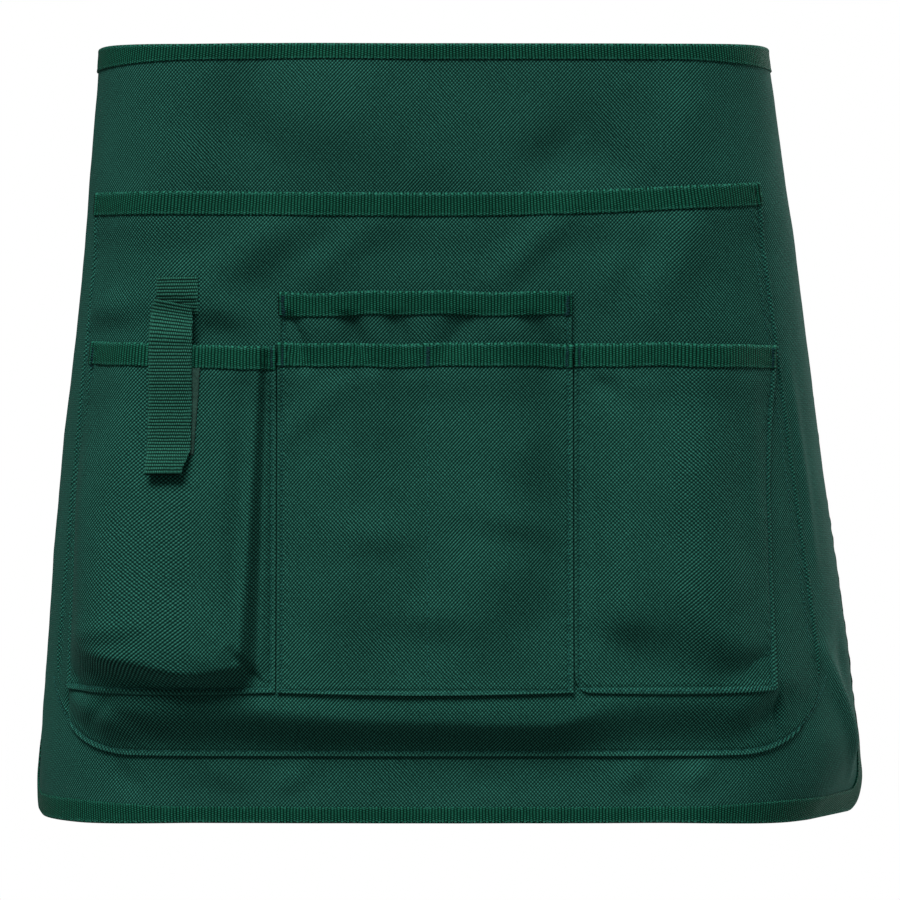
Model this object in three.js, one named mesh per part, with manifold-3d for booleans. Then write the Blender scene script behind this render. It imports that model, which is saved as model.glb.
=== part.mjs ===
// Gardening apron in its worn form: millimetres, +Z up, front towards -Y,
// origin at the centre of the waist loop, level with the top edge of the panel

import Module from 'manifold-3d';
import * as THREE from 'three';
import { mergeVertices } from 'three/addons/utils/BufferGeometryUtils.js';

// Panel: reaches are measured along the cloth, from centre front to a side edge
const PANEL_HEIGHT = 418;
const WAIST_DEPTH = 250;
const WAIST_REACH = 245;
const HEM_REACH = 320;
const FRONT_REACH = 126;
const FRONT_RADIUS = 3000;
const SIDE_RADIUS = 80;
const HEM_CORNER = 22;
const TOP_BOW = 2;
const HEM_BOW = 2;

// Cloth, tape and webbing
const CLOTH = 1.2;
const TAPE = 0.8;
const TAPE_FOLD = 11.5;
const TAPE_SHIFT = 4;
const WEBBING = 1.5;
const WEBBING_WIDTH = 24;
const GAP = 0.6;

// Large pocket: heights are measured up from its bottom seam
const HEM_MARGIN = 35;
const LARGE_HEIGHT = 302;
const SIDE_INSET = 70;
const LARGE_CORNER = 68;
const LARGE_CORNER_RISE = 56;
const LARGE_BULGE = 16;

// Row of small pockets sewn on the large one
const ROW_RISE = 35;
const ROW_HEIGHT = 186;
const INNER_STEP = 27.5;
const LEFT_BULGE = 23;
const RIGHT_BULGE = 13;
const MIDDLE_BULGE = 6.5;
const INNER_BULGE = 5.5;
const GUSSET = 8;
const LEFT_FLARE = 14.4;
const RIGHT_TAPER = 6;
const MIDDLE_SAG = 1.5;
const ROW_GAP = 1.6;

// Closure strap and the strip that it grips, which lies a little to its side
const STRAP_STEP = 37;
const STRAP_LENGTH = 106;
const STRAP_LIFT = 5;
const LOOP_LENGTH = 46;
const LOOP_THICKNESS = 1;
const LOOP_SHIFT = 1.5;

// Waist straps and buckle
const STRAP_LAP = 30;
const STRAP_DROP = 6;
const STRAP_RETURN = 32;
const BUCKLE_WIDTH = 62;
const BUCKLE_BAR = 5;
const BUCKLE_SLOT = 8;
const BUCKLE_THICKNESS = 4;

// Folds: a ridge or valley is a share of these
const FOLD_WIDTH = 10;
const FOLD_RISE = 4;

// Fineness of the facets
const FRONT_CELLS = 5;
const PANEL_SIDE_CELLS = 12;
const LARGE_SIDE_CELLS = 8;
const SLOPE_STEP = 0.5;

// Seats: how far the middle of one layer stands off the layer behind it
const SEAT = CLOTH + GAP;
const BOUND_SEAT = TAPE + GAP;
const TAPE_OUT = CLOTH / 2 + GAP + TAPE;

// Plan of the worn panel on each side: drop is a share of its height, front of FRONT_REACH,
// radius of SIDE_RADIUS, and turn of a quarter turn from facing straight ahead
const PLAN = {
  left: [
    { at: 0, front: 0.96, radius: 0.825, turn: 1.22 },
    { at: 0.12, front: 0.974, radius: 0.86, turn: 1.2 },
    { at: 0.25, front: 0.976, radius: 0.913, turn: 1.17 },
    { at: 0.5, front: 1.008, radius: 1, turn: 1.1 },
    { at: 0.84, front: 1.031, radius: 1.125, turn: 0.99 },
    { at: 0.9, front: 1.035, radius: 1.15, turn: 0.955 },
    { at: 0.95, front: 1.026, radius: 1.175, turn: 0.935 },
    { at: 1.01, front: 1.006, radius: 1.19, turn: 0.91 },
  ],
  right: [
    { at: 0, front: 0.99, radius: 0.775, turn: 1.22 },
    { at: 0.12, front: 0.998, radius: 0.855, turn: 1.2 },
    { at: 0.25, front: 1.008, radius: 0.95, turn: 1.18 },
    { at: 0.5, front: 1.014, radius: 1.125, turn: 1.13 },
    { at: 0.84, front: 1.04, radius: 1.35, turn: 1.03 },
    { at: 0.9, front: 1.05, radius: 1.37, turn: 0.94 },
    { at: 0.95, front: 1.055, radius: 1.28, turn: 0.83 },
    { at: 1.01, front: 1.02, radius: 1.12, turn: 0.72 },
  ],
};

// Side seams of the large pocket: inset from the panel's side edges, as a share of SIDE_INSET
const LARGE_SIDES = [
  { at: 0, left: 0.92, right: 1.12 },
  { at: 1, left: 1.17, right: 1.17 },
];

// How far each end of the large pocket's mouth rises, as a share of LARGE_HEIGHT
const MOUTH_RISE = { left: 0.008, right: 0.024 };

// Upright seams of the pocket row, as shares of the large pocket's half width at the row's mouth
const ROW_SEAMS = {
  leftOuter: -0.941,
  leftInner: -0.407,
  stitch: -0.015,
  rightInner: 0.383,
  rightOuter: 0.972,
};

// Rise of the left pocket's mouth at each end, as a share of ROW_HEIGHT
const LEFT_MOUTH = { outer: 0.01, inner: -0.012 };

// How far down the row its outer seams bend, as a share of ROW_HEIGHT, and how much of the
// left pocket's fullness is taken up next to its inner seam
const OUTER_BEND = 0.45;
const GUSSET_STEP = 0.55;

// Line of the closure strap: start is a share of the left pocket's width, kink and back are
// shares of GUSSET, and the rest are shares of STRAP_STEP
const STRAP_LINE = {
  start: 0.517,
  kink: -0.14,
  kinkFrom: 0.28,
  kinkTo: 0.5,
  back: 0.2,
  riseFrom: 0.4,
  riseTo: 0.94,
};

// How straight a waist strap leaves the panel and the buckle, as shares of WAIST_DEPTH
const WAIST_PULL = { panel: 0.34, buckle: 0.42 };

// How full each pocket stands from its mouth, 0, to its bottom seam, 1, as a share of its bulge
const FULLNESS = {
  large: [
    { at: 0, full: 0.36 },
    { at: 0.3, full: 0.36 },
    { at: 0.6, full: 0.52 },
    { at: 0.85, full: 0.84 },
    { at: 0.94, full: 1 },
    { at: 1, full: 0.96 },
  ],
  left: [
    { at: 0, full: 0.33 },
    { at: 0.3, full: 0.6 },
    { at: 0.6, full: 0.92 },
    { at: 0.82, full: 1 },
    { at: 1, full: 0.86 },
  ],
  right: [
    { at: 0, full: 0.55 },
    { at: 0.4, full: 0.8 },
    { at: 0.8, full: 1 },
    { at: 1, full: 0.8 },
  ],
};

// Main folds: places are shares of HEM_REACH across and of PANEL_HEIGHT down,
// width and rise are shares of FOLD_WIDTH and FOLD_RISE, and a rise below 0 is a valley
const FOLDS = {
  body: [
    { s0: 0.725, z0: 0.785, s1: 0.87, z1: 0.94, width: 1.2, rise: 0.8 },
    { s0: -0.8, z0: 0.3, s1: -0.86, z1: 0.85, width: 1.6, rise: 0.5 },
  ],
  large: [
    { s0: -0.55, z0: 0.855, s1: -0.46, z1: 0.885, width: 0.9, rise: -0.7 },
    { s0: 0.6, z0: 0.84, s1: 0.53, z1: 0.875, width: 0.9, rise: -0.7 },
    { s0: 0.3, z0: 0.21, s1: 0.5, z1: 0.37, width: 2.4, rise: -0.5 },
    { s0: -0.42, z0: 0.2, s1: -0.2, z1: 0.3, width: 2.4, rise: 0.5 },
  ],
  inner: [
    { s0: -0.235, z0: 0.36, s1: -0.225, z1: 0.4, width: 0.7, rise: -0.6 },
    { s0: -0.15, z0: 0.36, s1: -0.14, z1: 0.4, width: 0.8, rise: -0.6 },
  ],
  left: [
    { s0: -0.33, z0: 0.775, s1: -0.295, z1: 0.81, width: 0.8, rise: -0.9 },
    { s0: -0.6, z0: 0.45, s1: -0.58, z1: 0.74, width: 1.4, rise: 0.5 },
  ],
  right: [
    { s0: 0.34, z0: 0.46, s1: 0.5, z1: 0.74, width: 2.4, rise: 0.5 },
    { s0: 0.5, z0: 0.8, s1: 0.57, z1: 0.79, width: 0.9, rise: -0.6 },
  ],
};

const FINISHES = {
  cloth: { color: 0x173d35, roughness: 0.85, metalness: 0 },
  binding: { color: 0x12402f, roughness: 0.8, metalness: 0 },
  webbing: { color: 0x154033, roughness: 0.8, metalness: 0 },
  loop: { color: 0x2f4a40, roughness: 0.95, metalness: 0 },
  buckle: { color: 0x14201c, roughness: 0.45, metalness: 0 },
};

const clamp = (value, low, high) => Math.min(Math.max(value, low), high);

const mix = (from, to, share) => from + (to - from) * share;

// Smooth step from 0 at `from` to 1 at `to`
function ramp(value, from, to) {
  const share = clamp((value - from) / (to - from), 0, 1);
  return share * share * (3 - 2 * share);
}

// Smooth curve through one column of a table, with no overshoot between its rows
function track(rows, column, where) {
  const last = rows.length - 1;
  const x = clamp(where, rows[0].at, rows[last].at);
  let row = 0;
  while (row < last - 1 && x > rows[row + 1].at) {
    row += 1;
  }
  const slope = (i) => (rows[i + 1][column] - rows[i][column]) / (rows[i + 1].at - rows[i].at);
  const tangent = (i) => {
    if (i === 0) {
      return slope(0);
    }
    if (i === last) {
      return slope(last - 1);
    }
    const [before, after] = [slope(i - 1), slope(i)];
    return before * after > 0 ? (2 * before * after) / (before + after) : 0;
  };
  const span = rows[row + 1].at - rows[row].at;
  const t = (x - rows[row].at) / span;
  const rise = t * t * (3 - 2 * t);
  return (
    mix(rows[row][column], rows[row + 1][column], rise) +
    span * t * (1 - t) * ((1 - t) * tangent(row) - t * tangent(row + 1))
  );
}

// Half width of the panel along the cloth at height z
const reach = (z) => mix(WAIST_REACH, HEM_REACH, -z / PANEL_HEIGHT);

// Point of the worn surface: s runs along the cloth from centre front, positive to the
// viewer's right, z is the height, and h stands off the surface, outwards
function place(s, z, h) {
  const drop = -z / PANEL_HEIGHT;
  const plan = s < 0 ? PLAN.left : PLAN.right;
  const front = track(plan, 'front', drop) * FRONT_REACH;
  const radius = track(plan, 'radius', drop) * SIDE_RADIUS;
  const turn = track(plan, 'turn', drop) * (Math.PI / 2);
  const along = Math.abs(s);
  const bend = Math.min(along, front) / FRONT_RADIUS;
  const heading = clamp(bend + (along - front) / radius, bend, Math.max(turn, bend));
  const straight = Math.max(along - front - radius * (heading - bend), 0);
  const across =
    FRONT_RADIUS * Math.sin(bend) +
    radius * (Math.sin(heading) - Math.sin(bend)) +
    straight * Math.cos(heading) +
    h * Math.sin(heading);
  const back =
    FRONT_RADIUS * (1 - Math.cos(bend)) +
    radius * (Math.cos(bend) - Math.cos(heading)) +
    straight * Math.sin(heading) -
    h * Math.cos(heading);
  return new THREE.Vector3(Math.sign(s) * across, back - WAIST_DEPTH / 2, z);
}

// Stand-off that the folds of one piece add at a point of the cloth
function foldRise(folds, s, z) {
  const point = new THREE.Vector2(s, z);
  return folds.reduce((sum, fold) => {
    const start = new THREE.Vector2(fold.s0 * HEM_REACH, -fold.z0 * PANEL_HEIGHT);
    const run = new THREE.Vector2(fold.s1 * HEM_REACH, -fold.z1 * PANEL_HEIGHT).sub(start);
    const share = clamp(point.clone().sub(start).dot(run) / run.lengthSq(), 0, 1);
    const away = point.distanceTo(start.addScaledVector(run, share)) / (fold.width * FOLD_WIDTH);
    return sum + fold.rise * FOLD_RISE * Math.exp(-away * away);
  }, 0);
}

// Edge lines of the panel: both bow outwards a little where the sides turn back
const sideShare = (s) => ramp(Math.abs(s), FRONT_REACH, FRONT_REACH + SIDE_RADIUS);
const topLine = (s) => TOP_BOW * sideShare(s);
const hemLine = (s) => -PANEL_HEIGHT - HEM_BOW * sideShare(s);

// Height that a rounded corner takes off an edge, at a distance inside the side edge
const cornerRise = (inside, width, rise) =>
  rise * (1 - Math.sqrt(1 - Math.max(1 - inside / width, 0) ** 2));

// Large pocket: bottom seam, mouth and side seams
const largeBottom = -PANEL_HEIGHT + HEM_MARGIN;
const largeTop = largeBottom + LARGE_HEIGHT;
const largeMouth = (s) => {
  const rise = LARGE_HEIGHT * (s < 0 ? MOUTH_RISE.left : MOUTH_RISE.right);
  return largeTop + rise * (s / largeSide(s, largeTop)) ** 2;
};

function largeSide(s, z) {
  const down = (largeTop - z) / LARGE_HEIGHT;
  return reach(z) - SIDE_INSET * track(LARGE_SIDES, s < 0 ? 'left' : 'right', down);
}

const largeSeam = (s) =>
  largeBottom + cornerRise(largeSide(s, largeBottom) - Math.abs(s), LARGE_CORNER, LARGE_CORNER_RISE);

// A bound mouth stands further off than a plain seam, by the tape behind it
const boundSeat = (mouth, z) => SEAT + BOUND_SEAT * (1 - ramp(mouth - z, 1.2 * TAPE_FOLD, 3 * TAPE_FOLD));

// Folds of the panel end inside the stiff tape round its edges
function bodyHeight(s, z) {
  const inside = Math.min(reach(z) - Math.abs(s), z - hemLine(s));
  return ramp(inside, TAPE_FOLD, 3 * TAPE_FOLD) * foldRise(FOLDS.body, s, z);
}

function largeHeight(s, z) {
  const side = largeSide(s, z);
  const down = (largeMouth(s) - z) / LARGE_HEIGHT;
  const edge = ramp(side - Math.abs(s), 0, LARGE_CORNER) * ramp(z - largeSeam(s), 0, LARGE_CORNER / 3);
  const full = track(FULLNESS.large, 'full', down) * LARGE_BULGE + foldRise(FOLDS.large, s, z);
  return bodyHeight(s, z) + boundSeat(largeMouth(s), z) + edge * full;
}

// Pocket row: upright seams, mouth and bottom
const rowBottom = largeBottom + ROW_RISE;
const rowTop = rowBottom + ROW_HEIGHT;
const seamAt = (share) => share * largeSide(share, rowTop);
const seams = {
  leftOuter: seamAt(ROW_SEAMS.leftOuter),
  leftInner: seamAt(ROW_SEAMS.leftInner),
  stitch: seamAt(ROW_SEAMS.stitch),
  rightInner: seamAt(ROW_SEAMS.rightInner),
  rightOuter: seamAt(ROW_SEAMS.rightOuter),
};
const innerTop = rowTop + INNER_STEP;

// Fullness of a pocket that tapers to nothing at its bottom seam
const pocketFull = (rows, top, z, bottom, foot) =>
  track(rows, 'full', (top - z) / (top - bottom)) * ramp(z - bottom, 0, foot);

// Folds of a pocket, which end below the stiff tape of its mouth
const pocketFolds = (folds, mouth, s, z) =>
  ramp(mouth - z, TAPE_FOLD, 2 * TAPE_FOLD) * foldRise(folds, s, z);

// Outer seams of the row: the left one runs out with the large pocket's side, the right one
// runs in a little, and both then go straight down
const outerShare = (z) => ramp(rowTop - z, 0, OUTER_BEND * ROW_HEIGHT);
const leftOuter = (z) => seams.leftOuter - LEFT_FLARE * outerShare(z);
const rightOuter = (z) => seams.rightOuter - RIGHT_TAPER * outerShare(z);

function leftHeight(s, z) {
  const behind = largeHeight(s, z) + boundSeat(rowTop, z);
  const fromSeam = seams.leftInner - ROW_GAP / 2 - s;
  const fromSide = s - leftOuter(z);
  const gusset = mix(ramp(fromSeam, GUSSET, 7 * GUSSET), ramp(fromSeam, GUSSET, 2 * GUSSET), GUSSET_STEP);
  const across = gusset * ramp(fromSide, 0, 6 * GUSSET);
  const full = pocketFull(FULLNESS.left, rowTop, z, rowBottom, LEFT_BULGE) * LEFT_BULGE;
  return behind + across * (full + pocketFolds(FOLDS.left, rowTop, s, z));
}

function rightHeight(s, z) {
  const behind = largeHeight(s, z) + boundSeat(rowTop, z);
  const across = ramp(s - seams.rightInner, 0, 4 * GUSSET) * ramp(rightOuter(z) - s, 0, 6 * GUSSET);
  const full = pocketFull(FULLNESS.right, rowTop, z, rowBottom, 2 * RIGHT_BULGE) * RIGHT_BULGE;
  return behind + across * (full + pocketFolds(FOLDS.right, rowTop, s, z));
}

function innerHeight(s, z) {
  const inset = Math.min(s - seams.leftInner, seams.rightInner - s);
  const foot = ramp(z - rowBottom, 0, 12 * INNER_BULGE);
  const full = ramp(inset, 0, 4 * GUSSET) * foot;
  const behind = largeHeight(s, z) + boundSeat(innerTop, z);
  return behind + full * (INNER_BULGE + pocketFolds(FOLDS.inner, innerTop, s, z));
}

function middleHeight(s, z) {
  const inset = Math.min(s - seams.leftInner, Math.abs(s - seams.stitch), seams.rightInner - s);
  const full = ramp(inset, 0, 3 * GUSSET) * ramp(z - rowBottom, 0, 4 * MIDDLE_BULGE);
  return innerHeight(s, z) + boundSeat(rowTop, z) + full * MIDDLE_BULGE;
}

// Middle of the closure strap across the cloth: it steps aside below its sewn tab, and back
// as it rises over the tape of the mouth
const strapTop = rowTop + STRAP_STEP;
const strapEnd = strapTop - STRAP_LENGTH;
const strapShare = (z, from, to) => ramp((strapTop - z) / STRAP_STEP, from, to);
const strapRise = (z) => strapShare(z, STRAP_LINE.riseFrom, STRAP_LINE.riseTo);
const strapMiddle = (z) => {
  const kink = strapShare(z, STRAP_LINE.kinkFrom, STRAP_LINE.kinkTo);
  const start = mix(seams.leftOuter, seams.leftInner, STRAP_LINE.start);
  return start + GUSSET * (STRAP_LINE.kink * kink + STRAP_LINE.back * strapRise(z));
};

function loopHeight(s, z) {
  return leftHeight(s, z) + CLOTH / 2 + GAP + LOOP_THICKNESS / 2;
}

function strapHeight(s, z) {
  const sewn = largeHeight(s, z) + CLOTH / 2 + GAP + WEBBING / 2;
  const onPocket = leftHeight(s, Math.min(z, rowTop)) + TAPE_OUT + 1.5 * GAP + WEBBING / 2;
  const lift = STRAP_LIFT * ramp(strapEnd + STRAP_STEP / 2 - z, 0, STRAP_STEP / 2);
  return mix(sewn, onPocket, strapRise(z)) + lift;
}

// Position and outward direction of a cloth surface given by its stand-off function
function onSurface(height, s, z) {
  const at = (u, v) => place(u, v, height(u, v));
  const middle = at(s, z);
  const right = at(s + SLOPE_STEP, z).sub(at(s - SLOPE_STEP, z));
  const up = at(s, z + SLOPE_STEP).sub(at(s, z - SLOPE_STEP));
  return { middle, out: right.cross(up).normalize() };
}

// Closed body between two grids of points that share their rim
function closedBody(outer, inner) {
  const rows = outer.length;
  const columns = outer[0].length;
  const points = [...outer.flat(), ...inner.flat()];
  const under = rows * columns;
  const index = (i, j) => i * columns + j;
  const faces = [];
  const quad = (a, b, c, d) => faces.push(a, b, c, a, c, d);
  for (let i = 0; i < rows - 1; i += 1) {
    for (let j = 0; j < columns - 1; j += 1) {
      const [a, b, c, d] = [index(i, j), index(i, j + 1), index(i + 1, j + 1), index(i + 1, j)];
      quad(a, d, c, b);
      quad(under + a, under + b, under + c, under + d);
    }
  }
  for (let j = 0; j < columns - 1; j += 1) {
    const [a, b] = [index(0, j), index(0, j + 1)];
    const [c, d] = [index(rows - 1, j), index(rows - 1, j + 1)];
    quad(a, b, under + b, under + a);
    quad(d, c, under + c, under + d);
  }
  for (let i = 0; i < rows - 1; i += 1) {
    const [a, b] = [index(i, 0), index(i + 1, 0)];
    const [c, d] = [index(i, columns - 1), index(i + 1, columns - 1)];
    quad(b, a, under + a, under + b);
    quad(c, d, under + d, under + c);
  }
  const geometry = new THREE.BufferGeometry();
  const values = points.flatMap((point) => point.toArray());
  geometry.setAttribute('position', new THREE.Float32BufferAttribute(values, 3));
  geometry.setIndex(faces);
  geometry.computeVertexNormals();
  return geometry;
}

// Wall of even thickness about a cloth surface, on a grid of places
function clothSheet(height, grid, thickness) {
  const side = (sign) =>
    grid.map((line) =>
      line.map(({ s, z }) => {
        const { middle, out } = onSurface(height, s, z);
        return middle.addScaledVector(out, (sign * thickness) / 2);
      }),
    );
  return closedBody(side(1), side(-1));
}

// Tape folded over an edge: each stop is a place on the edge with its outward direction
function foldedTape(height, stops) {
  const near = CLOTH / 2 + GAP;
  const far = TAPE_OUT;
  const lines = stops.map(({ s, z, os, oz, front, rear }) => {
    const spot = (away, off) => {
      const { middle, out } = onSurface(height, s + os * away, z + oz * away);
      return middle.addScaledVector(out, off);
    };
    return {
      outer: [
        spot(-front, far),
        spot(0, far),
        spot(GAP + TAPE, 0),
        spot(0, -far),
        spot(-rear, -far),
      ],
      inner: [
        spot(-front, near),
        spot(0, near),
        spot(1.6 * GAP, 0),
        spot(0, -near),
        spot(-rear, -near),
      ],
    };
  });
  return closedBody(
    lines.map((line) => line.outer),
    lines.map((line) => line.inner),
  );
}

// Shares from 0 to 1 in even steps
const steps = (count) => Array.from({ length: count + 1 }, (_, i) => i / count);

// Shares across a half: wide cells on the flat front, narrow ones round the side
function halfShares(flat, cells, rim) {
  const front = steps(FRONT_CELLS).map((x) => x * flat);
  const round = steps(cells).slice(1).map((x) => mix(flat, 1 - rim.at(-1), x));
  return [...front, ...round, ...rim.slice(0, -1).reverse().map((x) => 1 - x), 1];
}

const bothHalves = (half) => [...half.slice(1).reverse().map((x) => -x), ...half];

// Panel grid: shares of the half width across, and of the height between its edge lines down
const cornerShares = [0.06, 0.25, TAPE_FOLD / HEM_CORNER, 1.1].map((x) => (x * HEM_CORNER) / HEM_REACH);
const panelAcross = bothHalves(halfShares((0.9 * FRONT_REACH) / HEM_REACH, PANEL_SIDE_CELLS, cornerShares));
const panelDown = [0, 0.055, 0.14, 0.23, 0.34, 0.45, 0.56, 0.66, 0.75, 0.82, 0.87, 0.91, 0.94, 0.97, 1];

function panelSpot(u, v) {
  const low = hemLine(u * HEM_REACH) + cornerRise((1 - Math.abs(u)) * HEM_REACH, HEM_CORNER, HEM_CORNER);
  const z = mix(topLine(u * WAIST_REACH), low, v);
  return { s: u * reach(z), z };
}

// Direction out of a mouth in the cloth, along the columns of its grid
function mouthOut(spot, u) {
  const edge = spot(u, 0);
  const below = spot(u, 0.05);
  const out = new THREE.Vector2(edge.s - below.s, edge.z - below.z).normalize();
  return { ...edge, os: out.x, oz: out.y };
}

// Turn of the tape over the long edges: less of it shows in front between the sides
const frontLeg = (s) => TAPE_FOLD - TAPE_SHIFT * (1 - sideShare(s));
const rearLeg = (s) => 2 * TAPE_FOLD - frontLeg(s);

function topStops() {
  return panelAcross.map((u) => {
    const stop = mouthOut(panelSpot, u);
    return { ...stop, front: frontLeg(stop.s), rear: rearLeg(stop.s) };
  });
}

// Outline of the panel below the top tape: down one side, along the hem and up the other
function outlineStops() {
  const sideRows = panelDown.slice(1, -1);
  const start = (TAPE_FOLD + 3 * GAP) / PANEL_HEIGHT;
  const down = [start, ...sideRows];
  const places = [
    ...down.map((v) => panelSpot(1, v)),
    ...[...panelAcross].reverse().map((u) => panelSpot(u, 1)),
    ...[...down].reverse().map((v) => panelSpot(-1, v)),
  ];
  return places.map(({ s, z }, i) => {
    const before = places[Math.max(i - 1, 0)];
    const after = places[Math.min(i + 1, places.length - 1)];
    const run = new THREE.Vector2(after.s - before.s, after.z - before.z).normalize();
    const hem = ramp(Math.abs(z) - PANEL_HEIGHT, -HEM_CORNER, 0);
    const front = mix(TAPE_FOLD, frontLeg(s), hem);
    return { s, z, os: -run.y, oz: run.x, front, rear: 2 * TAPE_FOLD - front };
  });
}

// Large pocket grid: its columns fan out with its side seams and end at the round corners
const largeAcross = bothHalves(halfShares(0.55, LARGE_SIDE_CELLS, [0.02, 0.07, 0.13, 0.2]));
const largeDown = [0, 0.045, 0.12, 0.24, 0.38, 0.52, 0.65, 0.76, 0.84, 0.88, 0.915, 0.945, 0.97, 1];

function largeSpot(u, v) {
  const top = largeMouth(u * largeSide(u, largeTop));
  const low = largeSeam(u * largeSide(u, largeBottom));
  const z = mix(top, low, v);
  return { s: u * largeSide(u, z), z };
}

const pocketGrid = (across, down, spot) => across.map((u) => down.map((v) => spot(u, v)).reverse());

const mouthStops = (across, spot) =>
  across.map((u) => ({ ...mouthOut(spot, u), front: TAPE_FOLD, rear: TAPE_FOLD }));

// Small pocket places: a share across between two upright seams and a share down
const leftSpot = (u, v) => {
  const z = mix(rowTop + mix(LEFT_MOUTH.outer, LEFT_MOUTH.inner, u) * ROW_HEIGHT, rowBottom, v);
  return { s: mix(leftOuter(z), seams.leftInner - ROW_GAP / 2, u), z };
};

const middleSpot = (u, v) => {
  const sag = MIDDLE_SAG * Math.sin(Math.PI * u);
  return { s: mix(seams.leftInner, seams.rightInner, u), z: mix(rowTop, rowBottom - sag, v) };
};

const rightSpot = (u, v) => {
  const z = mix(rowTop, rowBottom, v);
  return { s: mix(seams.rightInner + ROW_GAP / 2, rightOuter(z), u), z };
};

const innerSpot = (u, v) => {
  const side = CLOTH / 2;
  const s = mix(seams.leftInner + side, seams.rightInner - side, u);
  return { s, z: mix(innerTop, rowBottom + GAP, v) };
};

const rowDown = [0, 0.07, 0.18, 0.32, 0.46, 0.6, 0.73, 0.83, 0.89, 0.94, 0.975, 1];
const leftAcross = [0, 0.06, 0.14, 0.23, 0.32, 0.42, 0.52, 0.62, 0.72, 0.8, 0.86, 0.895, 0.935, 1];
const rightAcross = [0, 0.07, 0.16, 0.27, 0.38, 0.49, 0.6, 0.7, 0.79, 0.87, 0.94, 1];
const middleAcross = [0, 0.08, 0.17, 0.3, 0.4, 0.5, 0.6, 0.7, 0.83, 0.92, 1];
const innerAcross = [0, 0.05, 0.12, 0.18, 0.24, 0.3, 0.4, 0.5, 0.6, 0.72, 0.84, 0.93, 1];
const innerDown = [0, 0.07, 0.15, 0.27, 0.42, 0.58, 0.74, 0.86, 0.93, 1];

// Straight strip of webbing or loop tape laid on the cloth, from top to bottom: it covers
// less of the cloth where it stands off round the side
function stripGrid(height, top, bottom, count, shift = 0) {
  return [-1, -1 / 3, 1 / 3, 1].map((side) =>
    steps(count)
      .map((v) => {
        const z = mix(top, bottom, v);
        const middle = strapMiddle(z) + shift;
        const half = WEBBING_WIDTH / 2 / (1 + height(middle, z) / SIDE_RADIUS);
        return { s: middle + side * half, z };
      })
      .reverse(),
  );
}

// Waist strap: inside the top corner of the panel, round the back, and looped on the buckle
function waistStrap(side) {
  const off = -(TAPE_OUT + 1.5 * GAP + WEBBING / 2);
  const turn = (BUCKLE_THICKNESS + WEBBING) / 2 + GAP;
  const barX = BUCKLE_WIDTH / 2 - BUCKLE_BAR;
  const backY = WAIST_DEPTH / 2;
  const edgeLine = (z) => {
    const end = reach(z) - HEM_CORNER / 4;
    const lap = steps(4).map((x) => place(side * (end - STRAP_LAP * (1 - x)), z, off));
    const leaving = lap[4].clone().sub(lap[3]).setZ(0).normalize();
    const bar = new THREE.Vector3(side * barX, backY + turn, z);
    const curve = new THREE.CubicBezierCurve3(
      lap[4],
      lap[4].clone().addScaledVector(leaving, WAIST_DEPTH * WAIST_PULL.panel),
      bar.clone().add(new THREE.Vector3(side * WAIST_DEPTH * WAIST_PULL.buckle, 0, 0)),
      bar,
    );
    const round = steps(6).slice(1).map((x) => {
      const angle = Math.PI * x;
      return new THREE.Vector3(side * (barX - turn * Math.sin(angle)), backY + turn * Math.cos(angle), z);
    });
    const clear = new THREE.Vector3(side * (BUCKLE_WIDTH / 2 + WEBBING), backY - turn, z);
    const back = new THREE.Vector3(side * (barX + STRAP_RETURN), backY + turn - WEBBING - GAP, z);
    return [...lap, ...curve.getPoints(18).slice(1), ...round, clear, back];
  };
  const lines = [-STRAP_DROP - WEBBING_WIDTH, -STRAP_DROP].map(edgeLine);
  const layer = (sign) =>
    lines[0].map((_, i) =>
      lines.map((line) => {
        const before = line[Math.max(i - 1, 0)];
        const after = line[Math.min(i + 1, line.length - 1)];
        const run = after.clone().sub(before).setZ(0).normalize();
        const out = new THREE.Vector3(run.y, -run.x, 0);
        return line[i].clone().addScaledVector(out, (sign * WEBBING) / 2);
      }),
    );
  return closedBody(layer(1), layer(-1));
}

const wasm = await Module();
wasm.setup();

// Solid of a closed geometry, for cutting
function solidOf(geometry) {
  const bare = geometry.clone();
  bare.deleteAttribute('normal');
  bare.deleteAttribute('uv');
  const merged = mergeVertices(bare);
  const vertProperties = new Float32Array(merged.attributes.position.array);
  const triVerts = new Uint32Array(merged.index.array);
  return new wasm.Manifold(new wasm.Mesh({ numProp: 3, vertProperties, triVerts }));
}

function geometryOf(solid) {
  const { vertProperties, triVerts, numProp } = solid.getMesh();
  const geometry = new THREE.BufferGeometry();
  const points = new THREE.InterleavedBuffer(vertProperties, numProp);
  geometry.setAttribute('position', new THREE.InterleavedBufferAttribute(points, 3, 0));
  geometry.setIndex(Array.from(triVerts));
  geometry.computeVertexNormals();
  return geometry;
}

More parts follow.
